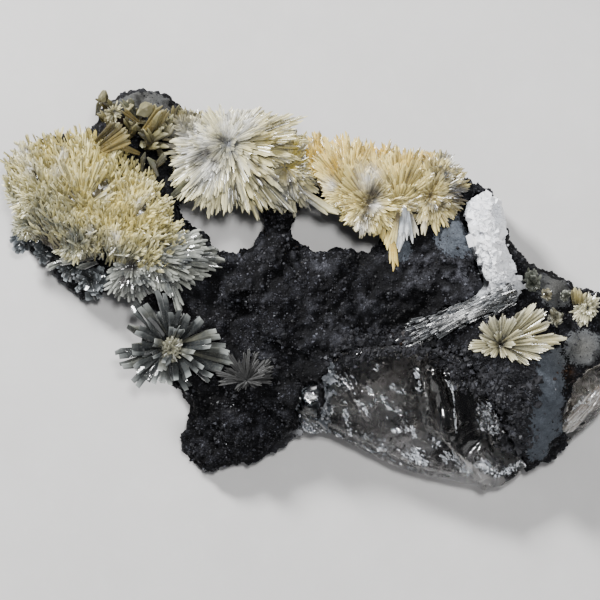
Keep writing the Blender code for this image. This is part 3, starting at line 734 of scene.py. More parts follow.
LEFT_LEAN_FROM = (84, 320)
PITS = [
    (100, 189, 5), (104, 183, 4.4), (96, 194, 3.6), (36, 176, 2.6), (72, 197, 3), (73, 192, 2.4),
    (143, 210, 3.4), (60, 152, 2.4)]
LEFT_HEART = [
    (42, 190, 12.0, 6.6, 0.36), (84, 190, 12.4, 8.6, 0.34), (128, 214, 12.4, 7.6, 0.34),
    (150, 250, 11.8, 4.2, 0.36), (62, 222, 11.8, 6, 0.26)]
roll = np.random.default_rng(21)
left_look = blade_look(
    "cream aragonite", root=(0.11, 0.09, 0.035), body=(0.96, 0.87, 0.41), tip=(1.0, 0.95, 0.64),
    stain=(0.84, 0.70, 0.22), cool=(0.17, 0.185, 0.16), variety=0.85)
high_petals = open_at(sprays(roll, LEFT_SEATS), PITS)
low_petals = open_at(sprays(roll, LEFT_LOW_SEATS), PITS)
filling = open_at(carpet(
    roll, LEFT_OUTLINE, heights=(12.0, 16.2), spacing=0.68, width=0.5, lengths=(1.6, 3.8),
    origin=LEFT_LEAN_FROM, scatter=26, tilts=(20, 60)), PITS)
left_spray = blade_piece(
    "left_spray_blades", high_petals, roll, left_look, "cream_aragonite", fine=0.28, sides=FOUR_SIDES)
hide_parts("left_spray")
blade_piece(
    "left_spray_low_blades", low_petals, roll, left_look, "cream_aragonite", fine=0.28, sides=FOUR_SIDES)
blade_piece("left_spray_carpet", filling, roll, left_look, "cream_aragonite", fine=0.25, sides=FOUR_SIDES)
heart("left_spray_heart", LEFT_HEART, 10.6, left_look)

# Long glassy grey blades at the left spray's lower right, lying out over the rock, and a short pale fan
# below them. A single petal: its root and its tip, each as across, down and height, then its width and its
# tone.
GLASSY_SEATS = [
    ((150, 258, 13.0), {0: 84, 15: 76, 30: 62, 45: 46, 60: 42, 90: 38, 135: 30, 180: 20, 225: 26, 270: 34,
                        300: 46, 330: 58, 345: 76}, 1.5, 6, (-8, 42), (1, 0.25), 0.1),
    ((132, 266, 12.6), {0: 26, 90: 16, 180: 22, 225: 46, 250: 44, 270: 38, 315: 44},
     1.4, 4, (-12, 34), (1, 0.35))]
GLASSY_PETALS = [
    (168, 272, 13.6, 182, 316, 13.8, 10, -0.1), (162, 272, 13.6, 172, 300, 14.6, 7, -0.4),
    (60, 262, 10.4, 44, 268, 9.6, 8, 0.0), (92, 258, 11.0, 54, 262, 10.0, 9, 0.1),
    (96, 262, 10.8, 74, 268, 9.8, 8, 0.0)]
roll = np.random.default_rng(22)
grey_look = blade_look(
    "grey glassy aragonite", root=(0.025, 0.026, 0.025), body=(0.32, 0.335, 0.30), tip=(0.66, 0.68, 0.62),
    stain=(0.60, 0.56, 0.32), cool=(0.05, 0.056, 0.06), gloss=0.14, clear=0.12, glow=0.0, streak=0.1)
glassy = sprays(roll, GLASSY_SEATS) + petals_at(roll, GLASSY_PETALS)
blade_piece(
    "left_spray_long_blades", glassy, roll, grey_look, "grey_aragonite", fine=0.55, thin=0.4, wander=0.06,
    ends=0.5)

# The middle spray: one large, flat, round spray of long blades that widen to the rim, silvery white round
# its seat, partly a painted sheen, and yellow to the right. A leaf and a second, yellower lobe have grown to
# it.
MIDDLE_SEATS = [
    ((228, 144, 17.0), {0: 98, 20: 86, 45: 53, 90: 39, 120: 46, 150: 50, 180: 66, 210: 74, 225: 82, 245: 79,
                        270: 82, 290: 86, 310: 94, 320: 100, 335: 86, 350: 90},
     1.6, 9, (-8, 44), (1, 0.12)),
    ((286, 168, 16.6), {0: 36, 45: 44, 90: 40, 135: 40, 180: 30, 225: 40, 270: 52, 300: 50, 330: 40},
     1.3, 5, (-14, 20), (1, 0.4), 0.3)]
MIDDLE_HEART = [(226, 146, 15.4, 6.6, 0.3), (270, 160, 15.0, 5.6, 0.26)]
MIDDLE_LEAVES = [
    (296, 186, 16.4, 346, 219, 16.2, 7, 0.1), (302, 196, 15.8, 330, 214, 15.6, 5, -0.3),
    (188, 121, 15.6, 206, 128, 17.0, 7, 0.2), (200, 186, 14.6, 174, 192, 14.2, 8, -0.3)]
roll = np.random.default_rng(31)
middle_look = blade_look(
    "white aragonite", root=(0.10, 0.10, 0.095), body=(0.68, 0.62, 0.33), tip=(0.86, 0.79, 0.46),
    stain=(0.32, 0.25, 0.05), cool=(0.09, 0.10, 0.12))
middle_spray = blade_piece(
    "middle_spray_blades", sprays(roll, MIDDLE_SEATS), roll, middle_look, "white_aragonite", fine=0.29,
    thin=0.35, wander=0.05, cuts=(0.35, 0.62), sides=FOUR_SIDES)
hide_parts("middle_spray")
heart("middle_spray_heart", MIDDLE_HEART, 14.3, middle_look)
leaves = petals_at(roll, MIDDLE_LEAVES)
blade_piece("middle_spray_leaves", leaves, roll, middle_look, "white_aragonite", fine=0.7)

# The right spray: two fans of pale ribs under an orange-tan crown, grey round its low seat, shell-like
# plates along the lower edge, and a tuft of long white-blue blades that hangs from it over the right gap.
RIGHT_SEATS = [
    ((368, 203, 17.0), {0: 52, 20: 60, 40: 62, 60: 66, 90: 70, 110: 76, 125: 84, 140: 72, 160: 52, 180: 42,
                        200: 34, 225: 36, 270: 36, 300: 36, 330: 46}, 1.5, 9, (-8, 44), (1, 0.12)),
    ((430, 196, 16.8), {0: 40, 30: 46, 60: 44, 90: 48, 120: 52, 150: 34, 180: 24, 225: 28, 270: 36, 300: 40,
                        330: 36}, 1.3, 7, (-8, 44), (1, 0.16)),
    ((398, 204, 17.0), {20: 30, 40: 54, 60: 62, 75: 66, 90: 64, 110: 68, 130: 66, 150: 30, 270: 12},
     1.5, 9, (0, 30), (1, 0.25)),
    ((350, 194, 17.0), {30: 30, 60: 60, 80: 62, 100: 66, 120: 70, 140: 58, 160: 38, 270: 12},
     1.5, 9, (0, 30), (1, 0.25)),
    ((438, 178, 16.4), {0: 30, 45: 30, 90: 30, 135: 34, 180: 20, 270: 14}, 1.2, 5, (-4, 36), (1, 0.3), -0.3),
    ((319, 168, 16.0), {0: 14, 60: 36, 90: 39, 115: 38, 140: 26, 180: 14, 270: 12},
     1.3, 6, (-4, 34), (1, 0.3), 0.8)]
RIGHT_HEART = [(370, 190, 15.6, 6.4, 0.26), (338, 176, 15.4, 4.6, 0.26), (420, 186, 15.4, 6.0, 0.26)]
TAN_TUFT = [
    (391, 214, 16.4, 394, 275, 15.2, 9, 0.45), (396, 214, 16.6, 386, 250, 15.4, 9, 0.1),
    (384, 214, 16.4, 382, 242, 15.2, 7, 0.2), (399, 210, 17.6, 391, 248, 16.4, 8, 0.0),
    (409, 210, 17.0, 418, 240, 16.0, 6, -0.2), (426, 206, 16.8, 423, 238, 16.0, 6, -0.1),
    (433, 206, 16.8, 437, 237, 16.0, 6, 0.0), (440, 208, 16.6, 447, 231, 16.2, 6, -0.3),
    (380, 212, 16.8, 374, 238, 15.8, 7, 0.1), (366, 212, 16.6, 360, 240, 15.6, 12, -0.1)]
PALE_TUFT = [
    (402, 208, 17.4, 398, 258, 16.2, 7, 0.1), (405, 208, 17.8, 404, 252, 16.6, 6, -0.1),
    (407, 208, 17.6, 411, 246, 16.4, 5, -0.3), (404, 208, 18.0, 401, 240, 17.4, 6, 0.0),
    (406, 208, 17.2, 407, 238, 17.4, 4, -0.8)]
roll = np.random.default_rng(41)
right_look = blade_look(
    "orange-crowned aragonite", root=(0.17, 0.125, 0.045), body=(0.87, 0.71, 0.25), tip=(0.90, 0.77, 0.32),
    stain=(0.64, 0.41, 0.05), cool=(0.07, 0.078, 0.092))
right_spray = blade_piece(
    "right_spray_blades", sprays(roll, RIGHT_SEATS), roll, right_look, "orange_aragonite", fine=0.33,
    thin=0.35, wander=0.05, cuts=(0.4, 0.68), sides=FOUR_SIDES)
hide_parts("right_spray")
heart("right_spray_heart", RIGHT_HEART, 14.9, right_look)
tuft = petals_at(roll, TAN_TUFT)
blade_piece("right_spray_tuft", tuft, roll, right_look, "orange_aragonite", fine=0.55)
pale_look = blade_look(
    "pale blue aragonite", root=(0.20, 0.21, 0.22), body=(0.62, 0.65, 0.66), tip=(0.84, 0.84, 0.78),
    stain=(0.60, 0.50, 0.24), cool=(0.34, 0.38, 0.42), variety=0.7, gloss=0.25)
hanging = petals_at(roll, PALE_TUFT, root=0.4)
blade_piece(
    "right_spray_pale_tuft", hanging, roll, pale_look, "white_aragonite", fine=0.6, thin=0.4, wander=0.12)

# The glassy rosette below the left spray: broad, thin, half-clear grey blades with bright edges and dark gaps
# between them, round a small yellowish heart. A tip: across, down, height, width and tone.
ROSETTE_SEAT = (171, 347, 13.8)
ROSETTE_TIPS = [
    (161, 285, 17.4, 9, 0.0), (140, 302, 16.0, 9, 0.1), (128, 300, 15.0, 8, -0.1), (146, 316, 17.4, 8, -0.2),
    (135, 328, 16.4, 9, 0.0), (125, 325, 15.0, 7, 0.3), (130, 350, 16.6, 9, -0.1), (111, 355, 14.2, 8, 0.0),
    (118, 369, 14.4, 8, 0.1), (133, 371, 15.8, 9, 0.0), (130, 388, 14.2, 8, -0.2), (147, 384, 15.8, 8, 0.0),
    (163, 388, 15.4, 10, 0.1), (175, 383, 16.4, 9, -0.1), (190, 380, 16.0, 8, 0.0), (188, 393, 14.4, 8, -0.2),
    (203, 372, 16.2, 8, 0.0), (221, 331, 16.4, 9, 0.2), (233, 348, 15.2, 8, 0.1), (243, 363, 15.4, 8, 0.2),
    (226, 372, 15.0, 8, -0.1), (212, 382, 14.8, 7, -0.3), (205, 318, 16.8, 8, -0.2), (214, 344, 17.2, 8, 0.0),
    (190, 312, 17.2, 8, -0.1), (176, 308, 17.8, 8, 0.0), (152, 342, 18.0, 7, 0.2), (196, 356, 17.8, 7, 0.2),
    (160, 372, 17.6, 7, 0.2), (182, 326, 18.4, 7, 0.1)]
ROSETTE_REACHES = {0: 56, 20: 50, 45: 42, 90: 44, 135: 46, 180: 46, 225: 42, 270: 36, 315: 42}
YELLOW_SEAT, YELLOW_REACHES = (171, 350, 15.4), {0: 12, 60: 17, 120: 13, 180: 11, 240: 17, 300: 13}
NEAR_SEAT = 0.08


def from_seat(seat, tips, wider):
    """Rows for petals_at: petals that start close to one seat and run to these tips, so many times wider."""
    across, down, height = seat
    return [(across + (far_across - across) * NEAR_SEAT, down + (far_down - down) * NEAR_SEAT, height,
             far_across, far_down, far_height, width * wider, tone)
            for far_across, far_down, far_height, width, tone in tips]


roll = np.random.default_rng(51)
rosette_look = blade_look(
    "clear grey aragonite", root=(0.006, 0.007, 0.008), body=(0.055, 0.06, 0.06), tip=(0.30, 0.32, 0.31),
    stain=(0.30, 0.29, 0.2), cool=(0.02, 0.022, 0.024), gloss=0.1, clear=0.2, glow=0.0, streak=0.04)
rosette_petals = petals_at(roll, from_seat(ROSETTE_SEAT, ROSETTE_TIPS, 1.3), root=0.45)
rosette_petals += spray(
    roll, ROSETTE_SEAT, ROSETTE_REACHES, 1.5, 4, (-4, 40), (0.9, 0.5), tone=-0.3, keep=0.09)
rosette = blade_piece(
    "rosette_blades", rosette_petals, roll, rosette_look, "grey_aragonite", fine=1.0, thin=0.3, wander=0.05,
    ends=0.72, cuts=(0.4,))
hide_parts("glassy_rosette")
yellow_look = blade_look(
    "yellow aragonite", root=(0.04, 0.038, 0.027), body=(0.12, 0.115, 0.075), tip=(0.23, 0.225, 0.16),
    stain=(0.3, 0.25, 0.1), cool=(0.14, 0.14, 0.12), variety=0.7)
yellow = spray(roll, YELLOW_SEAT, YELLOW_REACHES, 1.4, 3, (5, 40), (1, 0.4), keep=0.75)
blade_piece(
    "rosette_heart_blades", yellow, roll, yellow_look, "tan_aragonite", fine=0.7, thin=0.4, wander=0.05,
    ends=0.5)

# Dark, bluish, glassy clusters under the left spray's lower edge.
LOWER_SEATS = [
    ((88, 280, 7.4), {0: 24, 45: 20, 90: 18, 135: 26, 180: 26, 225: 22, 270: 22, 315: 26},
     1.6, 4, (-14, 30), (1, 0.4), 0.0, 0.6),
    ((70, 264, 7.6), {0: 16, 90: 14, 180: 18, 270: 20}, 1.3, 4, (-14, 30), (1, 0.4), 0.0, 0.6)]
LEFT_EDGE_SEATS = [
    ((24, 236, 7.4), {0: 22, 90: 20, 180: 20, 225: 22, 270: 20}, 1.5, 4, (-14, 30), (1, 0.4), 0.0, 0.6),
    ((48, 250, 7.6), {0: 22, 90: 18, 180: 20, 270: 16}, 1.3, 4, (-14, 30), (1, 0.4), 0.0, 0.6)]
CLUSTER_FORM = dict(fine=0.8, thin=0.4, wander=0.06, ends=0.6)
roll = np.random.default_rng(61)
dark_look = blade_look(
    "dark glassy aragonite", root=(0.006, 0.007, 0.008), body=(0.06, 0.066, 0.07), tip=(0.36, 0.39, 0.41),
    stain=(0.1, 0.1, 0.1), cool=(0.05, 0.06, 0.07), gloss=0.12, clear=0.1, glow=0.0, streak=0.04)
lower = blade_piece(
    "lower_cluster", sprays(roll, LOWER_SEATS), roll, dark_look, "dark_aragonite", **CLUSTER_FORM)
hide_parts("lower_spray")
edge_cluster = blade_piece(
    "left_edge_cluster", sprays(roll, LEFT_EDGE_SEATS), roll, dark_look, "dark_aragonite", **CLUSTER_FORM)
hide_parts("left_edge_spray")

# The small tan-yellow fan at the right: broad ribbed blades fan out to the right, shorter ones to the left.
FAN_SEAT = (498, 344, 22.3)
FAN_TIPS = [
    (465, 346, 23.2, 10, 0.1), (476, 335, 24.0, 7, 0.0), (477, 322, 23.6, 8, 0.1), (488, 315, 24.2, 8, 0.0),
    (500, 313, 24.0, 7, 0.1), (511, 316, 24.8, 8, 0.0), (522, 309, 24.2, 8, 0.1), (533, 302, 24.0, 8, 0.1),
    (545, 308, 23.8, 10, 0.2), (549, 322, 24.4, 8, 0.3), (564, 338, 23.4, 11, 0.7), (553, 347, 23.4, 8, 0.4),
    (545, 350, 23.8, 6, 0.0), (538, 358, 23.4, 7, 0.4), (527, 364, 23.2, 7, 0.1), (514, 361, 23.6, 6, 0.1),
    (502, 358, 23.8, 6, 0.2), (489, 357, 23.4, 6, 0.1), (479, 353, 23.6, 7, 0.1), (494, 330, 25.4, 6, 0.0),
    (520, 330, 25.4, 7, 0.2), (535, 338, 25.0, 8, 0.5), (512, 344, 25.6, 6, 0.0), (484, 344, 25.0, 6, 0.1)]
roll = np.random.default_rng(71)
fan_look = blade_look(
    "tan aragonite", root=(0.035, 0.034, 0.026), body=(0.46, 0.43, 0.27), tip=(0.78, 0.75, 0.58),
    stain=(0.50, 0.40, 0.13), cool=(0.25, 0.24, 0.2), variety=0.85, gloss=0.2)
fan = petals_at(roll, from_seat(FAN_SEAT, FAN_TIPS, 1.25), root=0.42)
small_fan = blade_piece(
    "small_fan_blades", fan, roll, fan_look, "tan_aragonite", fine=0.36, thin=0.4, wander=0.06, ends=0.4)
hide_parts("small_fan")

# The pale fan at the right edge, with one tabular tan crystal above it, the faint flat fan low on the rock,
# and small clumps of green-grey and tan crystals round the lump between the vein and the right edge.
EDGE_FAN_SEAT = (587, 308, 16.4)
EDGE_FAN_REACHES = {0: 12, 45: 22, 90: 16, 135: 10, 180: 16, 225: 24, 270: 20, 315: 14}
TABULAR_PETALS = [(576, 304, 16.6, 574, 286, 19.0, 11, 0.6), (580, 302, 16.6, 583, 290, 18.4, 6, 0.5)]
FLAT_FAN_SEAT = (247, 380, 17.0)
FLAT_FAN_REACHES = {0: 30, 45: 38, 90: 34, 135: 36, 180: 36, 225: 18, 270: 8, 315: 14}
# Each clump: across, down, reach and tone.
CLUMPS = [(531, 284, 17, -0.5), (546, 296, 9, 0.4), (565, 297, 9, -0.2), (556, 320, 14, 0.2)]
CLUMP_SHARES = {0: 0.6, 70: 1, 110: 1, 180: 0.7, 270: 0.5}
CLUMP_SUNK, CLUMP_NO_GROUND = 0.3, 15
thin_fan = spray(roll, EDGE_FAN_SEAT, EDGE_FAN_REACHES, 1.3, 4, (-6, 45), (1, 0.4), keep=0.6)
thin_fan += petals_at(roll, TABULAR_PETALS, root=0.8)
edge_fan = blade_piece("edge_fan_blades", thin_fan, roll, fan_look, "tan_aragonite", fine=0.6)
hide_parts("edge_fan")
faint_look = blade_look(
    "grey-brown aragonite", root=(0.002, 0.002, 0.002), body=(0.009, 0.009, 0.0088),
    tip=(0.022, 0.022, 0.020), stain=(0.1, 0.08, 0.05), cool=(0.06, 0.06, 0.06), variety=0.8, gloss=0.85,
    glow=0.0, streak=0.01)
faint = spray(roll, FLAT_FAN_SEAT, FLAT_FAN_REACHES, 0.9, 3, (-6, 14), (1, 0.5), keep=0.34)
flat_fan = blade_piece("flat_fan_blades", faint, roll, faint_look, "faint_aragonite", fine=0.45)
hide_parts("flat_fan")
clump_look = blade_look(
    "green-grey crystals", root=(0.02, 0.022, 0.018), body=(0.10, 0.105, 0.085), tip=(0.26, 0.27, 0.23),
    stain=(0.30, 0.22, 0.08), cool=(0.06, 0.07, 0.06), variety=0.7, gloss=0.2)
clump_petals = []
for across, down, reach, tone in CLUMPS:
    seat = (across, down, ground_at(*spot(across, down), CLUMP_NO_GROUND) - CLUMP_SUNK)
    reaches = {angle: reach * share for angle, share in CLUMP_SHARES.items()}
    clump_petals += spray(roll, seat, reaches, 1.3, 3, (15, 60), (1, 0.6), tone=tone, keep=0.7)
blade_piece(
    "edge_fan_crystals", clump_petals, roll, clump_look, "tan_aragonite", fine=0.8, thin=0.6, wander=0.1,
    ends=0.5)

# Between the left and middle sprays: tan plates and rounded crystals, long ochre blades, a small white
# needle spray and brown blades over a crevice whose black is painted shade.
BROWN_PETALS = [
    (104, 106, 16.2, 104, 90, 18.0, 9, 0.9), (110, 106, 16.2, 98, 96, 17.6, 8, 0.5),
    (97, 116, 16.0, 101, 100, 18.0, 6, -0.4), (136, 118, 16.4, 121, 100, 18.4, 6, -0.6),
    (134, 112, 16.4, 130, 98, 18.4, 6, -0.7), (140, 124, 16.6, 122, 110, 19.4, 7, 0.9),
    (144, 131, 17.0, 165, 106, 20.2, 8, 0.9), (156, 134, 17.0, 170, 109, 19.8, 7, 0.8),
    (150, 134, 17.0, 162, 112, 20.6, 5, 0.3), (164, 140, 16.6, 190, 142, 17.6, 5, 0.9),
    (160, 144, 16.4, 187, 150, 17.0, 5, 0.9), (140, 154, 15.6, 121, 147, 17.0, 6, 0.9),
    (150, 140, 16.8, 140, 130, 19.2, 8, -0.3), (154, 146, 16.4, 146, 128, 19.0, 8, 0.1),
    (146, 144, 16.4, 168, 130, 18.6, 9, 0.0), (162, 140, 16.4, 176, 124, 18.4, 8, 0.1),
    (130, 134, 16.4, 138, 122, 18.0, 6, 0.5), (154, 168, 15.4, 168, 154, 17.4, 7, -0.5),
    (142, 172, 15.4, 144, 152, 17.2, 5, -0.7), (158, 176, 15.0, 150, 156, 16.8, 5, -0.7),
    (172, 196, 14.8, 190, 180, 16.4, 8, -0.4), (98, 152, 15.6, 132, 132, 18.6, 9, 0.8),
    (100, 146, 15.8, 127, 126, 18.8, 8, 0.8), (104, 152, 16.0, 136, 140, 18.4, 8, 0.9),
    (96, 142, 16.0, 118, 122, 18.6, 7, 0.6), (118, 132, 16.0, 104, 116, 18.0, 6, 0.2),
    (176, 128, 15.8, 184, 108, 17.4, 6, 0.6), (172, 124, 16.0, 176, 106, 17.6, 6, 0.5),
    (112, 124, 16.0, 98, 112, 17.6, 6, 0.1), (150, 122, 16.8, 154, 104, 19.0, 6, 0.6)]
THICKET_OUTLINE = [
    (96, 108), (112, 104), (124, 112), (150, 112), (168, 106), (186, 108), (196, 112), (186, 124), (176, 126),
    (176, 138), (160, 150), (136, 150), (116, 140), (100, 126)]
THICKET_LEAN_FROM = (120, 160)
FRINGE_SEAT = (190, 134, 15.8)
FRINGE_REACHES = {0: 20, 45: 30, 70: 29, 90: 27, 135: 32, 180: 26, 200: 10, 270: 8}
NEEDLE_SEAT = (114, 113, 16.4)
NEEDLE_REACHES = {0: 11, 60: 14, 120: 9, 180: 13, 250: 14, 300: 9}
# Each plate: across, down, height, radius and tilt.
PLATES = [(146, 111, 18.8, 1.7, 24), (104, 97, 17.6, 1.2, 30), (129, 106, 17.2, 1.1, -20)]
PLATE_THICKNESS, PLATE_TWIST = 0.36, 1.3
PLATE_LUMPS, PLATE_LUMP_SCALE = 0.5, 1.6
roll = np.random.default_rng(81)
brown_look = blade_look(
    "brown aragonite", root=(0.016, 0.013, 0.007), body=(0.20, 0.18, 0.085), tip=(0.42, 0.39, 0.24),
    stain=(0.17, 0.128, 0.042), cool=(0.11, 0.125, 0.10), gloss=0.18, streak=0.06)
brown_petals = petals_at(roll, BROWN_PETALS, root=0.55)
brown_petals += carpet(
    roll, THICKET_OUTLINE, heights=(15.2, 16.6), spacing=1.35, width=1.2, lengths=(2.0, 4.4),
    origin=THICKET_LEAN_FROM, scatter=55, tilts=(15, 60), keep=0.62)
brown = blade_piece(
    "brown_blades_tufts", brown_petals, roll, brown_look, "brown_aragonite", fine=0.75, thin=0.4, wander=0.05)
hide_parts("brown_blades")
fringe = spray(roll, FRINGE_SEAT, FRINGE_REACHES, 0.7, 5, (2, 50), (1, 0.4), tone=0.4)
needles = spray(roll, NEEDLE_SEAT, NEEDLE_REACHES, 0.3, 4, (5, 55), (1, 0.6), tone=-0.4, keep=0.4)
blade_piece("brown_fringe", fringe, roll, brown_look, "brown_aragonite", fine=0.5)
blade_piece("white_needles", needles, roll, middle_look, "brown_aragonite", fine=0.34)
plates = bmesh.new()
for across, down, height, radius, tilt in PLATES:
    middle = Vector((*spot(across, down), height))
    turn = Matrix.Rotation(math.radians(tilt), 4, "X")
    turn = turn @ Matrix.Rotation(math.radians(tilt * PLATE_TWIST), 4, "Y")
    for corner in bmesh.ops.create_icosphere(plates, subdivisions=2, radius=1)["verts"]:
        out = Vector((corner.co.x, corner.co.y, corner.co.z * PLATE_THICKNESS)) * radius
        out *= 1 + PLATE_LUMPS * noise.noise(corner.co * PLATE_LUMP_SCALE + Vector((across, 0, 0)))
        corner.co = (middle + turn @ out) * MM
plate_mesh = bpy.data.meshes.new("tan_plates")
plates.to_mesh(plate_mesh)
plates.free()
same = np.ones(len(plate_mesh.vertices))
with_values(
    plate_mesh, along=same * 0.9, tint=same * 0.8, warm=same * 0.3, cool=same * 0.2, white=same * 0,
    dark=same * 0)
piece("tan_plates", plate_mesh, brown_look)

# The white vein: brilliant, sugary calcite in small bright cleavage steps with ragged edges, grey and
# streaky where it turns down to the left.
VEIN_SQUARE = 0.34
STEP_SIZE, STEP_LIFT, STEP_SUNK = 2.1, 1.1, 0.25
VEIN_CRUMBLE_SIZE, VEIN_CRUMBLE_LIFT = 1.8, 0.3
# The upper part stands a little further to the right, from this height on the face and over this distance.
VEIN_SHIFT, SHIFT_FROM, SHIFT_OVER = 0.5, -4, 6
# Below its turn the vein is grey and lower, and past this place across the face it fades into the dark.
VEIN_TURN, GREY_ABOVE, GREY_OVER, GREY_SUNK = 288, 4, 7, 0.7
FADES_PAST, FADES_OVER = 462, 9


def greyness(y, turn):
    """How grey the vein is: 0 above its turn, 1 below it."""
    return np.clip((spot(0, turn)[1] + GREY_ABOVE - y) / GREY_OVER, 0, 1)


vein_mesh = evenly_meshed(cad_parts["white_vein"].data, VEIN_SQUARE, "white_vein")
here = read_vectors(vein_mesh.vertices, "co") / MM
steps = np.empty(len(here))
for i, p in enumerate(here):
    p = Vector(map(float, p))
    cell = noise.voronoi(p / STEP_SIZE)[1][0]
    crumble = VEIN_CRUMBLE_LIFT * noise.fractal(p / VEIN_CRUMBLE_SIZE, 0.9, 2.0, 3)
    steps[i] = STEP_LIFT * (noise.cell(cell * 9) - 0.5) + crumble - STEP_SUNK
here += read_vectors(vein_mesh.vertices, "normal") * steps[:, None]
here[:, 0] += VEIN_SHIFT * np.clip((here[:, 1] - SHIFT_FROM) / SHIFT_OVER, 0, 1)
greyer = greyness(here[:, 1], VEIN_TURN)
here[:, 2] -= GREY_SUNK * greyer
shaped(vein_mesh, here)
fading = np.clip((spot(FADES_PAST, 0)[0] - here[:, 0]) / FADES_OVER, 0, 1)
with_values(vein_mesh, greyer=greyer, fading=fading)
vein_look, tree, shader = new_material("white sugary calcite")
sugar = grain_in(tree, (0.84, 0.86, 0.90), (0.98, 0.98, 1.0), (1.0, 1.0, 1.0), 260.0, 0.4)
duller = grain_in(tree, (0.016, 0.018, 0.020), (0.20, 0.215, 0.23), (0.60, 0.61, 0.64), 420.0, 0.2)
colour = mixed(tree, stored(tree, "greyer"), sugar["Colour"], duller["Colour"])
colour = laid_over(tree, stored(tree, "fading"), 0.85, colour, (0.012, 0.012, 0.014))
feed(tree, colour, shader.inputs["Base Color"])
feed(tree, bumped(tree, sugar["Height"], 0.5, 0.2), shader.inputs["Normal"])
shader.inputs["Roughness"].default_value = 0.3
shader.inputs["Subsurface Weight"].default_value = 0.2
shader.inputs["Subsurface Radius"].default_value = (1.0, 1.0, 1.0)
shader.inputs["Subsurface Scale"].default_value = MM
vein = piece("white_vein_body", vein_mesh, vein_look)
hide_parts("white_vein")
vein_surface = surface_of(vein)


def vein_top(x, y, missing):
    """The height of the vein's or the rock's face at a place, whichever is higher."""
    return max(ground_at(x, y, missing), height_on(vein_surface, x, y, NO_GROUND))


# Small cleavage pieces of calcite are skewed cubes. They crumble from the vein, along its run.
CUBE = np.array([(x, y, z) for x in (-1, 1) for y in (-1, 1) for z in (-1, 1)], dtype=float)
CUBE_FACES = [(0, 1, 3, 2), (4, 6, 7, 5), (0, 4, 5, 1), (2, 3, 7, 6), (0, 2, 6, 4), (1, 5, 7, 3)]
CLEAVAGE_SKEW = 0.5
VEIN_RUN = [np.array(place) for place in ((480, 200), (486, 230), (492, 256), (506, 284))]
CRUMB_COUNT, CRUMB_TURN = 700, 286


def rhombs(name, places, sizes, chance, form=(1, 1, 1), settle=0.0, way=None, **values):
    """Small cleavage pieces at these places, turned every way, or lying flat and one way if settled."""
    shapes = CUBE[None] * sizes[:, None, None] * np.array(form)
    shapes *= chance.uniform(0.5, 1.2, (len(places), 1, 3))
    shapes[:, :, 0] += CLEAVAGE_SKEW * shapes[:, :, 1]
    turns = turned(len(places), chance)
    if settle:
        turns[:, 2] = turns[:, 2] * (1 - settle) + np.array([0, 0, 1]) * settle
        turns[:, 2] /= np.linalg.norm(turns[:, 2], axis=1)[:, None]
        turns[:, 0] = np.array(way) + chance.normal(0, 0.35, (len(places), 3))
        turns[:, 0] -= turns[:, 2] * (turns[:, 0] * turns[:, 2]).sum(axis=1)[:, None]
        turns[:, 0] /= np.linalg.norm(turns[:, 0], axis=1)[:, None]
        turns[:, 1] = np.cross(turns[:, 2], turns[:, 0])
    corners = np.einsum("bij,bjk->bik", shapes, turns) + places[:, None]
    return many(name, corners, CUBE_FACES, **values)


roll = np.random.default_rng(91)
crumb_places = []
for share in np.linspace(0, 1, CRUMB_COUNT):
    run = share * (len(VEIN_RUN) - 1)
    k = min(int(run), len(VEIN_RUN) - 2)
    x, y = spot(*(VEIN_RUN[k] + (VEIN_RUN[k + 1] - VEIN_RUN[k]) * (run - k)))
    x, y = x + roll.normal(0, 1.3), y + roll.normal(0, 0.6)
    crumb_places.append((x, y, vein_top(x, y, 12) + 0.1))
crumb_places = np.array(crumb_places)
crumb_sizes = roll.gamma(2.4, 0.10, CRUMB_COUNT) + 0.12

# Fibres: thin grey streaks of calcite along the vein's low part. They start along one line, on both sides of
# it, and each runs a step further left and down.
FIBRE_COUNT = 420
FIBRES_FROM, FIBRES_LEFT, FIBRES_DOWN = (520, 290), 110, 46
ASIDE_ACROSS, ASIDE_DOWN = 2.2, 4.4
FIBRE_LEFT, FIBRE_DOWN = 0.9, 0.42
fibres = []
for _ in range(FIBRE_COUNT):
    share, aside = roll.uniform(0.04, 0.95), float(np.clip(roll.normal(0, 1.3), -2.3, 2.3))
    across = FIBRES_FROM[0] - FIBRES_LEFT * share + aside * ASIDE_ACROSS
    down = FIBRES_FROM[1] + FIBRES_DOWN * share + aside * ASIDE_DOWN
    length = roll.uniform(8, 24)
    far = across - length * FIBRE_LEFT, down + length * (FIBRE_DOWN + roll.normal(0, 0.07))
    middle = spot(across - length * FIBRE_LEFT / 2, down + length * FIBRE_DOWN / 2)
    height = vein_top(*middle, 10) + roll.uniform(-0.25, 0.3)
    width = roll.uniform(1.2, 3.2)
    tone = -0.9 * (roll.random() < 0.38 + 0.62 * share)
    fibres.append((across, down, height, *far, height - 0.1, width, tone))
streak_look = blade_look(
    "streaky grey calcite", root=(0.05, 0.053, 0.056), body=(0.18, 0.19, 0.20), tip=(0.42, 0.44, 0.47),
    stain=(0.5, 0.5, 0.4), cool=(0.025, 0.027, 0.03), gloss=0.34, clear=0.3, glow=0.0, streak=0.04)
blade_piece(
    "vein_fibres", petals_at(roll, fibres, root=0.9), roll, streak_look, "white_calcite", fine=0.34, thin=0.6,
    wander=0.05, ends=0.5)
crumb_grey = greyness(crumb_places[:, 1], CRUMB_TURN) * roll.uniform(0.3, 1, CRUMB_COUNT)
crumb_mesh = rhombs("vein_crumbs", crumb_places, crumb_sizes, roll, greyer=np.repeat(crumb_grey, 8))
piece("vein_crumbs", crumb_mesh, vein_look)

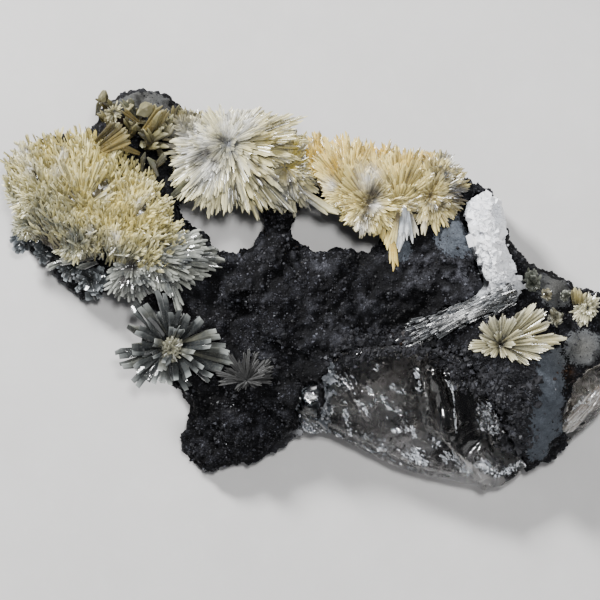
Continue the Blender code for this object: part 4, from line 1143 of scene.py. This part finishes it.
# The smoky crystal: clear, smoky brown calcite with stepped cleavage faces, sharp ridges and dark grooves.
# The bluish lump at its left end and the tan-grey block at the right edge are of the same mineral. Ridges
# and grooves: their line, how far up or down, and how wide.
SMOKY_LINES = [
    ([(412, 352), (417, 366), (423, 395), (429, 422), (443, 437), (465, 468), (486, 486)], 1.1, 0.9),
    ([(346, 360), (351, 381), (355, 395), (372, 422)], 0.5, 0.6),
    ([(443, 374), (451, 389), (456, 426)], 1.8, 0.6),
    ([(432, 368), (440, 400), (452, 432), (468, 456)], -2.6, 2.2),
    ([(464, 384), (474, 414), (482, 444)], -2.6, 1.8),
    ([(326, 430), (372, 452), (420, 474)], -0.8, 1.0),
    ([(600, 386), (569, 420)], 1.1, 0.9)]
# The hollows beside the ridge are smooth, and painted nearly black as shade.
SHADED_GROOVES = [
    ([(428, 362), (438, 392), (447, 420), (460, 446)], 1.0, 2.0),
    ([(456, 380), (466, 412), (476, 440)], 1.0, 1.7)]
# The large left face is one plane through four places, given as across, down and height.
LEFT_FACE = [
    (336, 354), (348, 340), (396, 338), (411, 350), (417, 362), (423, 395), (429, 422), (443, 437),
    (480, 480), (420, 468), (368, 448), (324, 428)]
LEFT_FACE_POINTS = [(346, 362, 18.6), (415, 366, 21.2), (476, 474, 12.2), (332, 424, 13.0)]
FACE_PULL, FACE_DEEPEST, FACE_HIGHEST = 0.8, -3, 1.0
# The lines and the plane are only on what looks up this much, and the foot keeps its shape up to here.
LINES_LOOK_UP, FACE_LOOKS_UP, FOOT = 0.1, 0.3, 1.5
# Two sets of cleavage ledges: which way they slope in x, y and z, their depth, and the waves in them.
LEDGES = [((0.34, 0.22, 1.0), 1.9, 6, (0, 0, 0), 1.0), ((-0.5, 0.7, 0.5), 2.9, 5, (4, 4, 4), 0.8)]
LEDGE_WAVE, LEDGE_LIFT, LEDGE_SUNK = 0.9, 0.7, 0.3
RIPPLE_SIZE, RIPPLE_LIFT = 4, 0.4
SHARD_STRETCH = 0.36


def close_to(points, lines):
    """For each point, how near it is in plan to some lines: each line is its places, its strength and its
    width."""
    total = np.zeros(len(points))
    for places, strength, width in lines:
        ends = np.array([spot(*place) for place in places])
        away = np.full(len(points), np.inf)
        for a, b in zip(ends[:-1], ends[1:]):
            share = np.clip(((points[:, :2] - a) @ (b - a)) / ((b - a) @ (b - a)), 0, 1)
            away = np.minimum(away, np.linalg.norm(points[:, :2] - a - share[:, None] * (b - a), axis=1))
        total += strength * np.exp(-((away / width) ** 2))
    return total


def ledge(p, slope, depth, waves, shift):
    """A zigzag from 0 to a half and back, once for each cleavage ledge that lies this way."""
    level = slope[2] * p.z + slope[0] * p.x + slope[1] * p.y
    level = (level + LEDGE_WAVE * noise.noise(p / waves + Vector(shift))) / depth
    return 0.5 - abs((level % 1) - 0.5)


def cleaved(node, name, size, depth, material, face=None, stretch=0.0):
    """A clear piece with its faces broken into fine cleavage ledges, ridges and ripples. A face is pulled
    towards its plane, and a stretch widens the right half."""
    mesh = evenly_meshed(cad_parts[node].data, size, name)
    here = read_vectors(mesh.vertices, "co") / MM
    out = read_vectors(mesh.vertices, "normal")
    move = close_to(here, SMOKY_LINES) * (out[:, 2] > LINES_LOOK_UP)
    pull = np.zeros(len(here))
    for i, p in enumerate(here):
        p = Vector(map(float, p))
        step = sum(share * ledge(p, *form) for *form, share in LEDGES)
        ripple = RIPPLE_LIFT * noise.fractal(p / RIPPLE_SIZE, 1.0, 2.0, 2)
        move[i] += depth * (LEDGE_LIFT * step + ripple - LEDGE_SUNK)
        if face and out[i, 2] > FACE_LOOKS_UP and inside(p.x, p.y, face[0]):
            plane = face[1]
            over = plane[0] * p.x + plane[1] * p.y + plane[2] - p.z
            pull[i] = np.clip(over * FACE_PULL, FACE_DEEPEST, FACE_HIGHEST)
    low = here[:, 2].min()
    here += out * (move * np.clip((here[:, 2] - low) / FOOT, 0, 1))[:, None]
    here[:, 0] += stretch * np.maximum(here[:, 0] - (here[:, 0].min() + here[:, 0].max()) / 2, 0)
    here[:, 2] += pull
    shaped(mesh, here)
    with_values(mesh, hollow=np.clip(close_to(here, SHADED_GROOVES), 0, 1))
    made = piece(name, mesh, material, smooth=True)
    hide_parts(node)
    return made


CALCITE_IOR = 1.57
VEIL_WHITE, GROOVE_SHADE_TINT, HOLLOW_ROUGHNESS = (0.97, 0.98, 1.0), (0.06, 0.055, 0.05), (0.12, 0.12, 0.12)


def clear_look(name, tint, absorbed, density, smoothest, roughest):
    """Clear calcite with milky veils in it. It is rougher and paler where they are, and absorbs one
    colour."""
    made, tree, shader = new_material(name)
    veil = cloudy(tree, 170.0, 7.0, 0.62)
    veiled = mixed(tree, spread(tree, veil, 0.4, 0.62), tint, VEIL_WHITE)
    # In the grooves beside the ridge the colour is painted near-black as shade.
    feed(tree, mixed(tree, stored(tree, "hollow"), veiled, GROOVE_SHADE_TINT), shader.inputs["Base Color"])
    rough = maths(tree, "MULTIPLY", spread(tree, veil, 0.42, 0.66), roughest - smoothest)
    rough = maths(tree, "ADD", rough, smoothest)
    feed(tree, mixed(tree, stored(tree, "hollow"), rough, HOLLOW_ROUGHNESS), shader.inputs["Roughness"])
    feed(tree, bumped(tree, cloudy(tree, 900.0, 4.0), 0.15, 0.08), shader.inputs["Normal"])
    shader.inputs["IOR"].default_value = CALCITE_IOR
    shader.inputs["Transmission Weight"].default_value = 1.0
    absorb = tree.nodes.new("ShaderNodeVolumeAbsorption")
    absorb.inputs["Color"].default_value = (*absorbed, 1)
    absorb.inputs["Density"].default_value = density
    tree.links.new(absorb.outputs[0], tree.nodes["Material Output"].inputs["Volume"])
    return made


face_points = np.array([(*spot(across, down), height) for across, down, height in LEFT_FACE_POINTS])
face_plane = np.linalg.lstsq(np.c_[face_points[:, :2], np.ones(4)], face_points[:, 2], rcond=None)[0]
left_face = [spot(*place) for place in LEFT_FACE], face_plane
smoky_look = clear_look("smoky calcite", (0.90, 0.88, 0.86), (0.52, 0.47, 0.42), 38.0, 0.06, 0.5)
bluish_look = clear_look("bluish calcite", (0.86, 0.90, 0.95), (0.6, 0.68, 0.8), 30.0, 0.08, 0.45)
tan_look = clear_look("tan calcite", (0.90, 0.86, 0.78), (0.66, 0.58, 0.48), 36.0, 0.06, 0.4)
smoky = cleaved("smoky_crystal", "smoky_crystal_body", 0.5, 0.3, smoky_look, face=left_face)
shard = cleaved(
    "clear_shard", "clear_shard_body", 0.4, 0.6, bluish_look, stretch=SHARD_STRETCH)
edge_block = cleaved("edge_crystal", "edge_crystal_body", 0.45, 0.6, tan_look)
clear_surfaces = [surface_of(made) for made in (smoky, shard, edge_block)]
smoky_surface, shard_surface, block_surface = clear_surfaces

# Frosted flakes: thin, pale cleavage chips that still cling to the clear crystals' faces, thickest where the
# faces are bruised; their paleness is partly painted glints of light on the cleavage. Each bruise: its two
# ends, how far it spreads, how many flakes, and how bright.
FROST_AND_GLINT_SPOTS = [
    (336, 376, 350, 386, 7, 70, 0.35), (330, 408, 332, 413, 4, 22, 0.8), (343, 400, 351, 438, 3, 60, 0.8),
    (357, 400, 370, 417, 2.2, 36, 1.0), (364, 388, 371, 392, 3, 20, 0.5), (383, 397, 384, 403, 2, 8, 0.7),
    (390, 387, 403, 392, 2.5, 30, 0.6), (396, 410, 399, 412, 2.5, 12, 0.4),
    (392, 431, 413, 429, 2.5, 50, 0.9), (411, 424, 414, 436, 2, 26, 1.0), (402, 454, 426, 462, 5, 120, 0.8),
    (415, 448, 420, 464, 4, 60, 1.0), (433, 439, 440, 446, 3.5, 34, 0.7), (443, 456, 447, 466, 2, 20, 0.9),
    (449, 455, 472, 474, 4, 90, 0.6), (379, 449, 384, 452, 2, 14, 0.9), (415, 366, 419, 392, 2, 34, 0.6),
    (446, 380, 452, 390, 2, 22, 0.7), (452, 390, 457, 434, 0.8, 40, 0.5), (488, 402, 492, 408, 3, 20, 0.7),
    (482, 424, 492, 434, 4, 30, 0.35), (480, 462, 494, 472, 5, 90, 1.0), (500, 476, 530, 462, 4, 80, 0.8),
    (310, 396, 324, 400, 4, 40, 0.4), (300, 430, 328, 434, 6, 120, 0.6), (322, 430, 330, 436, 3, 30, 0.9),
    (376, 366, 378, 369, 2, 8, 0.7), (560, 436, 566, 442, 3, 30, 0.9), (572, 410, 602, 386, 2.6, 90, 1.0),
    (566, 424, 596, 404, 3, 50, 0.6), (330, 432, 420, 474, 1.6, 60, 0.4), (360, 436, 390, 450, 6, 60, 0.25),
    (296, 396, 290, 425, 5, 50, 0.3), (482, 408, 498, 430, 7, 150, 0.12), (380, 400, 410, 420, 8, 40, 0.15)]
FLAKES_MORE, FLAKE_SCATTER = 1.2, 0.6
FLAKE_FORM, FLAKE_FLATNESS, FLAKE_WAY = (1.7, 0.55, 0.10), 0.92, (0.5, -0.85, 0)
FROST_DARK, FROST_AND_GLINT_WHITE = (0.06, 0.066, 0.075), (0.72, 0.76, 0.82)
roll = np.random.default_rng(97)
flake_places, glint_brightness = [], []
for across, down, far_across, far_down, reach, number, bright in FROST_AND_GLINT_SPOTS:
    for _ in range(int(number * FLAKES_MORE)):
        share = roll.random()
        x, y = spot(across + (far_across - across) * share + roll.normal(0, reach * FLAKE_SCATTER),
                    down + (far_down - down) * share + roll.normal(0, reach * FLAKE_SCATTER))
        height = max(height_on(surface, x, y, NO_GROUND) for surface in clear_surfaces)
        if height > NO_GROUND:
            flake_places.append((x, y, height + 0.02))
            glint_brightness.append(bright * roll.uniform(0.1, 0.9))
flake_sizes = roll.gamma(2.0, 0.045, len(flake_places)) + 0.04
frost_look, tree, shader = new_material("frosted calcite chips")
# Brighter flakes stand partly for painted glints on the cleavage.
feed(tree, mixed(tree, stored(tree, "bright"), FROST_DARK, FROST_AND_GLINT_WHITE), shader.inputs["Base Color"])
shader.inputs["Roughness"].default_value = 0.25
shader.inputs["Coat Weight"].default_value = 0.5
flake_mesh = rhombs(
    "frosted_flakes", np.array(flake_places), flake_sizes, roll, FLAKE_FORM, FLAKE_FLATNESS, FLAKE_WAY,
    bright=np.repeat(glint_brightness, 8))
piece("frosted_flakes", flake_mesh, frost_look)

# Broken chips fill the narrow seam between the bluish lump and the smoky crystal. They lie a little below
# the lower of the two faces, this far to its left and right.
SEAM_ACROSS, SEAM_DOWN = (331, 325, 325), (364, 396, 432)
SEAM_REACH = 1.4
CHIP_COUNT, CHIP_FORM = 260, (1.3, 0.8, 0.4)
roll = np.random.default_rng(98)
chips = []
for share in roll.uniform(0, 1, CHIP_COUNT):
    x, y = spot(np.interp(share, (0, 0.5, 1), SEAM_ACROSS), np.interp(share, (0, 0.5, 1), SEAM_DOWN))
    x += roll.normal(0, 0.45)
    right_side = height_on(smoky_surface, x + SEAM_REACH, y, None)
    left_side = height_on(shard_surface, x - SEAM_REACH, y, None)
    heights = [side for side in (right_side, left_side) if side is not None]
    if heights:
        chips.append((x, y, min(heights) - roll.uniform(0.2, 1.2)))
chip_sizes = roll.gamma(3.0, 0.11, len(chips)) + 0.12
chip_bright = np.repeat(roll.uniform(0.0, 0.4, len(chips)) ** 1.5, 8)
chip_mesh = rhombs("seam_chips", np.array(chips), chip_sizes, roll, CHIP_FORM, bright=chip_bright)
piece("seam_chips", chip_mesh, frost_look)

# Along its outer edge the tan-grey block is split into bright, parallel splinters. Each lies beside a line
# from the block's top corner to its low one.
SPLIT_FROM, SPLIT_LEFT, SPLIT_DOWN = (601, 386), -37, 44
BESIDE_ACROSS, BESIDE_DOWN = 0.76, 0.64
SPLINTER_COUNT = 200
roll = np.random.default_rng(99)
splinters = []
for _ in range(SPLINTER_COUNT):
    share, aside, length = roll.uniform(-0.05, 0.8), roll.uniform(-4, 9), roll.uniform(0.15, 0.4)
    ends = []
    for run in (share, share + length):
        across = SPLIT_FROM[0] + SPLIT_LEFT * run + aside * BESIDE_ACROSS
        down = SPLIT_FROM[1] + SPLIT_DOWN * run + aside * BESIDE_DOWN
        height = height_on(block_surface, *spot(across, down), None)
        if height is not None:
            ends.append((across, down, height + 0.1))
    if len(ends) == 2:
        splinters.append((*ends[0], *ends[1], roll.uniform(1.0, 2.6), roll.choice((0.0, 0.5, -0.6))))
splinter_look = blade_look(
    "split calcite", root=(0.20, 0.17, 0.14), body=(0.66, 0.64, 0.60), tip=(0.94, 0.94, 0.95),
    stain=(0.26, 0.19, 0.12), cool=(0.10, 0.10, 0.11), gloss=0.2, clear=0.3, glow=0.0, streak=0.2)
blade_piece(
    "edge_crystal_splinters", petals_at(roll, splinters, root=0.9), roll, splinter_look, "tan_calcite",
    fine=0.3, thin=0.6, wander=0.05, ends=0.5)

# A dark granular crust of the rock still covers the smoky crystal's upper right shoulder and its top rim.
CRUST_OUTLINE = [
    (441, 352), (470, 346), (530, 348), (538, 400), (527, 410), (531, 442), (516, 456), (503, 442),
    (509, 410), (490, 400), (470, 392), (456, 384), (444, 368), (430, 356), (404, 352), (360, 357),
    (338, 370), (328, 362), (346, 336), (404, 328), (432, 338)]
CRUST_ACROSS, CRUST_DOWN = (324, 540), (326, 458)
CRUST_COUNT, CRUST_RAGGED = 4000, 0.7
roll = np.random.default_rng(101)
crust_edge = [spot(*place) for place in CRUST_OUTLINE]
crust_seats = []
while len(crust_seats) < CRUST_COUNT:
    x, y = spot(roll.uniform(*CRUST_ACROSS), roll.uniform(*CRUST_DOWN))
    if inside(x + roll.normal(0, CRUST_RAGGED), y + roll.normal(0, CRUST_RAGGED), crust_edge):
        height = max(ground_at(x, y), height_on(smoky_surface, x, y, NO_GROUND)) + roll.uniform(-0.3, 0.35)
        crust_seats.append((x, y, height))
crust_sizes = roll.gamma(2.4, 0.11, CRUST_COUNT) + 0.14
crust_corners = grains(roll, np.array(crust_seats), crust_sizes)
plain = np.zeros(CRUST_COUNT * 6)
crust_tints = np.repeat(roll.random(CRUST_COUNT) * 0.9, 6)
crust_mesh = many(
    "crust", crust_corners, OCTAHEDRON_FACES, tint=crust_tints, pale=plain, black=plain, rust=plain)
piece("rock_crust", crust_mesh, grit_look)

# The studio: a pale floor, a large soft light low at the upper left, a small bright one above, a weak one at
# the right and a pale surround. The camera looks straight down on the crystal side.
FLOOR_HALF = 1.5
LAMP_AIM = Vector((0, 0, 0.01))
# Each lamp: its name, place, size and power.
LAMPS = [
    ("key", (-0.36, 0.44, 0.40), 0.12, 11.0),
    ("fill", (0.5, -0.25, 0.45), 0.4, 0.8),
    ("top", (0.05, 0.12, 0.8), 0.09, 5.0)]
CAMERA_PLACE, CAMERA_LENS = (-1.2 * MM, -2 * MM, 665 * MM), 195
floor_mesh = bpy.data.meshes.new("floor")
floor_corners = [(x * FLOOR_HALF, y * FLOOR_HALF, 0) for x, y in ((-1, -1), (1, -1), (1, 1), (-1, 1))]
floor_mesh.from_pydata(floor_corners, [], [(0, 1, 2, 3)])
floor_look, tree, shader = new_material("pale studio floor")
paper = grain_in(tree, (0.60, 0.59, 0.58), (0.64, 0.63, 0.62), (0.68, 0.67, 0.66), 40.0, 0.2)
feed(tree, paper["Colour"], shader.inputs["Base Color"])
shader.inputs["Roughness"].default_value = 0.85
floor_mesh.materials.append(floor_look)
floor = bpy.data.objects.new("floor", floor_mesh)
bpy.context.scene.collection.objects.link(floor)

for name, where, size, power in LAMPS:
    lamp = bpy.data.lights.new(name, "AREA")
    lamp.size = size
    lamp.energy = power
    lit = bpy.data.objects.new(name, lamp)
    lit.location = where
    lit.rotation_euler = (LAMP_AIM - Vector(where)).to_track_quat("-Z", "Y").to_euler()
    bpy.context.scene.collection.objects.link(lit)
world = bpy.data.worlds.new("studio")
bpy.context.scene.world = world
world.use_nodes = True
surround = world.node_tree.nodes["Background"]
surround.inputs["Color"].default_value = (0.9, 0.93, 1.0, 1)
surround.inputs["Strength"].default_value = 0.15

view = bpy.data.cameras.new("camera")
view.lens = CAMERA_LENS
camera = bpy.data.objects.new("camera", view)
camera.location = CAMERA_PLACE
bpy.context.scene.collection.objects.link(camera)
bpy.context.scene.camera = camera
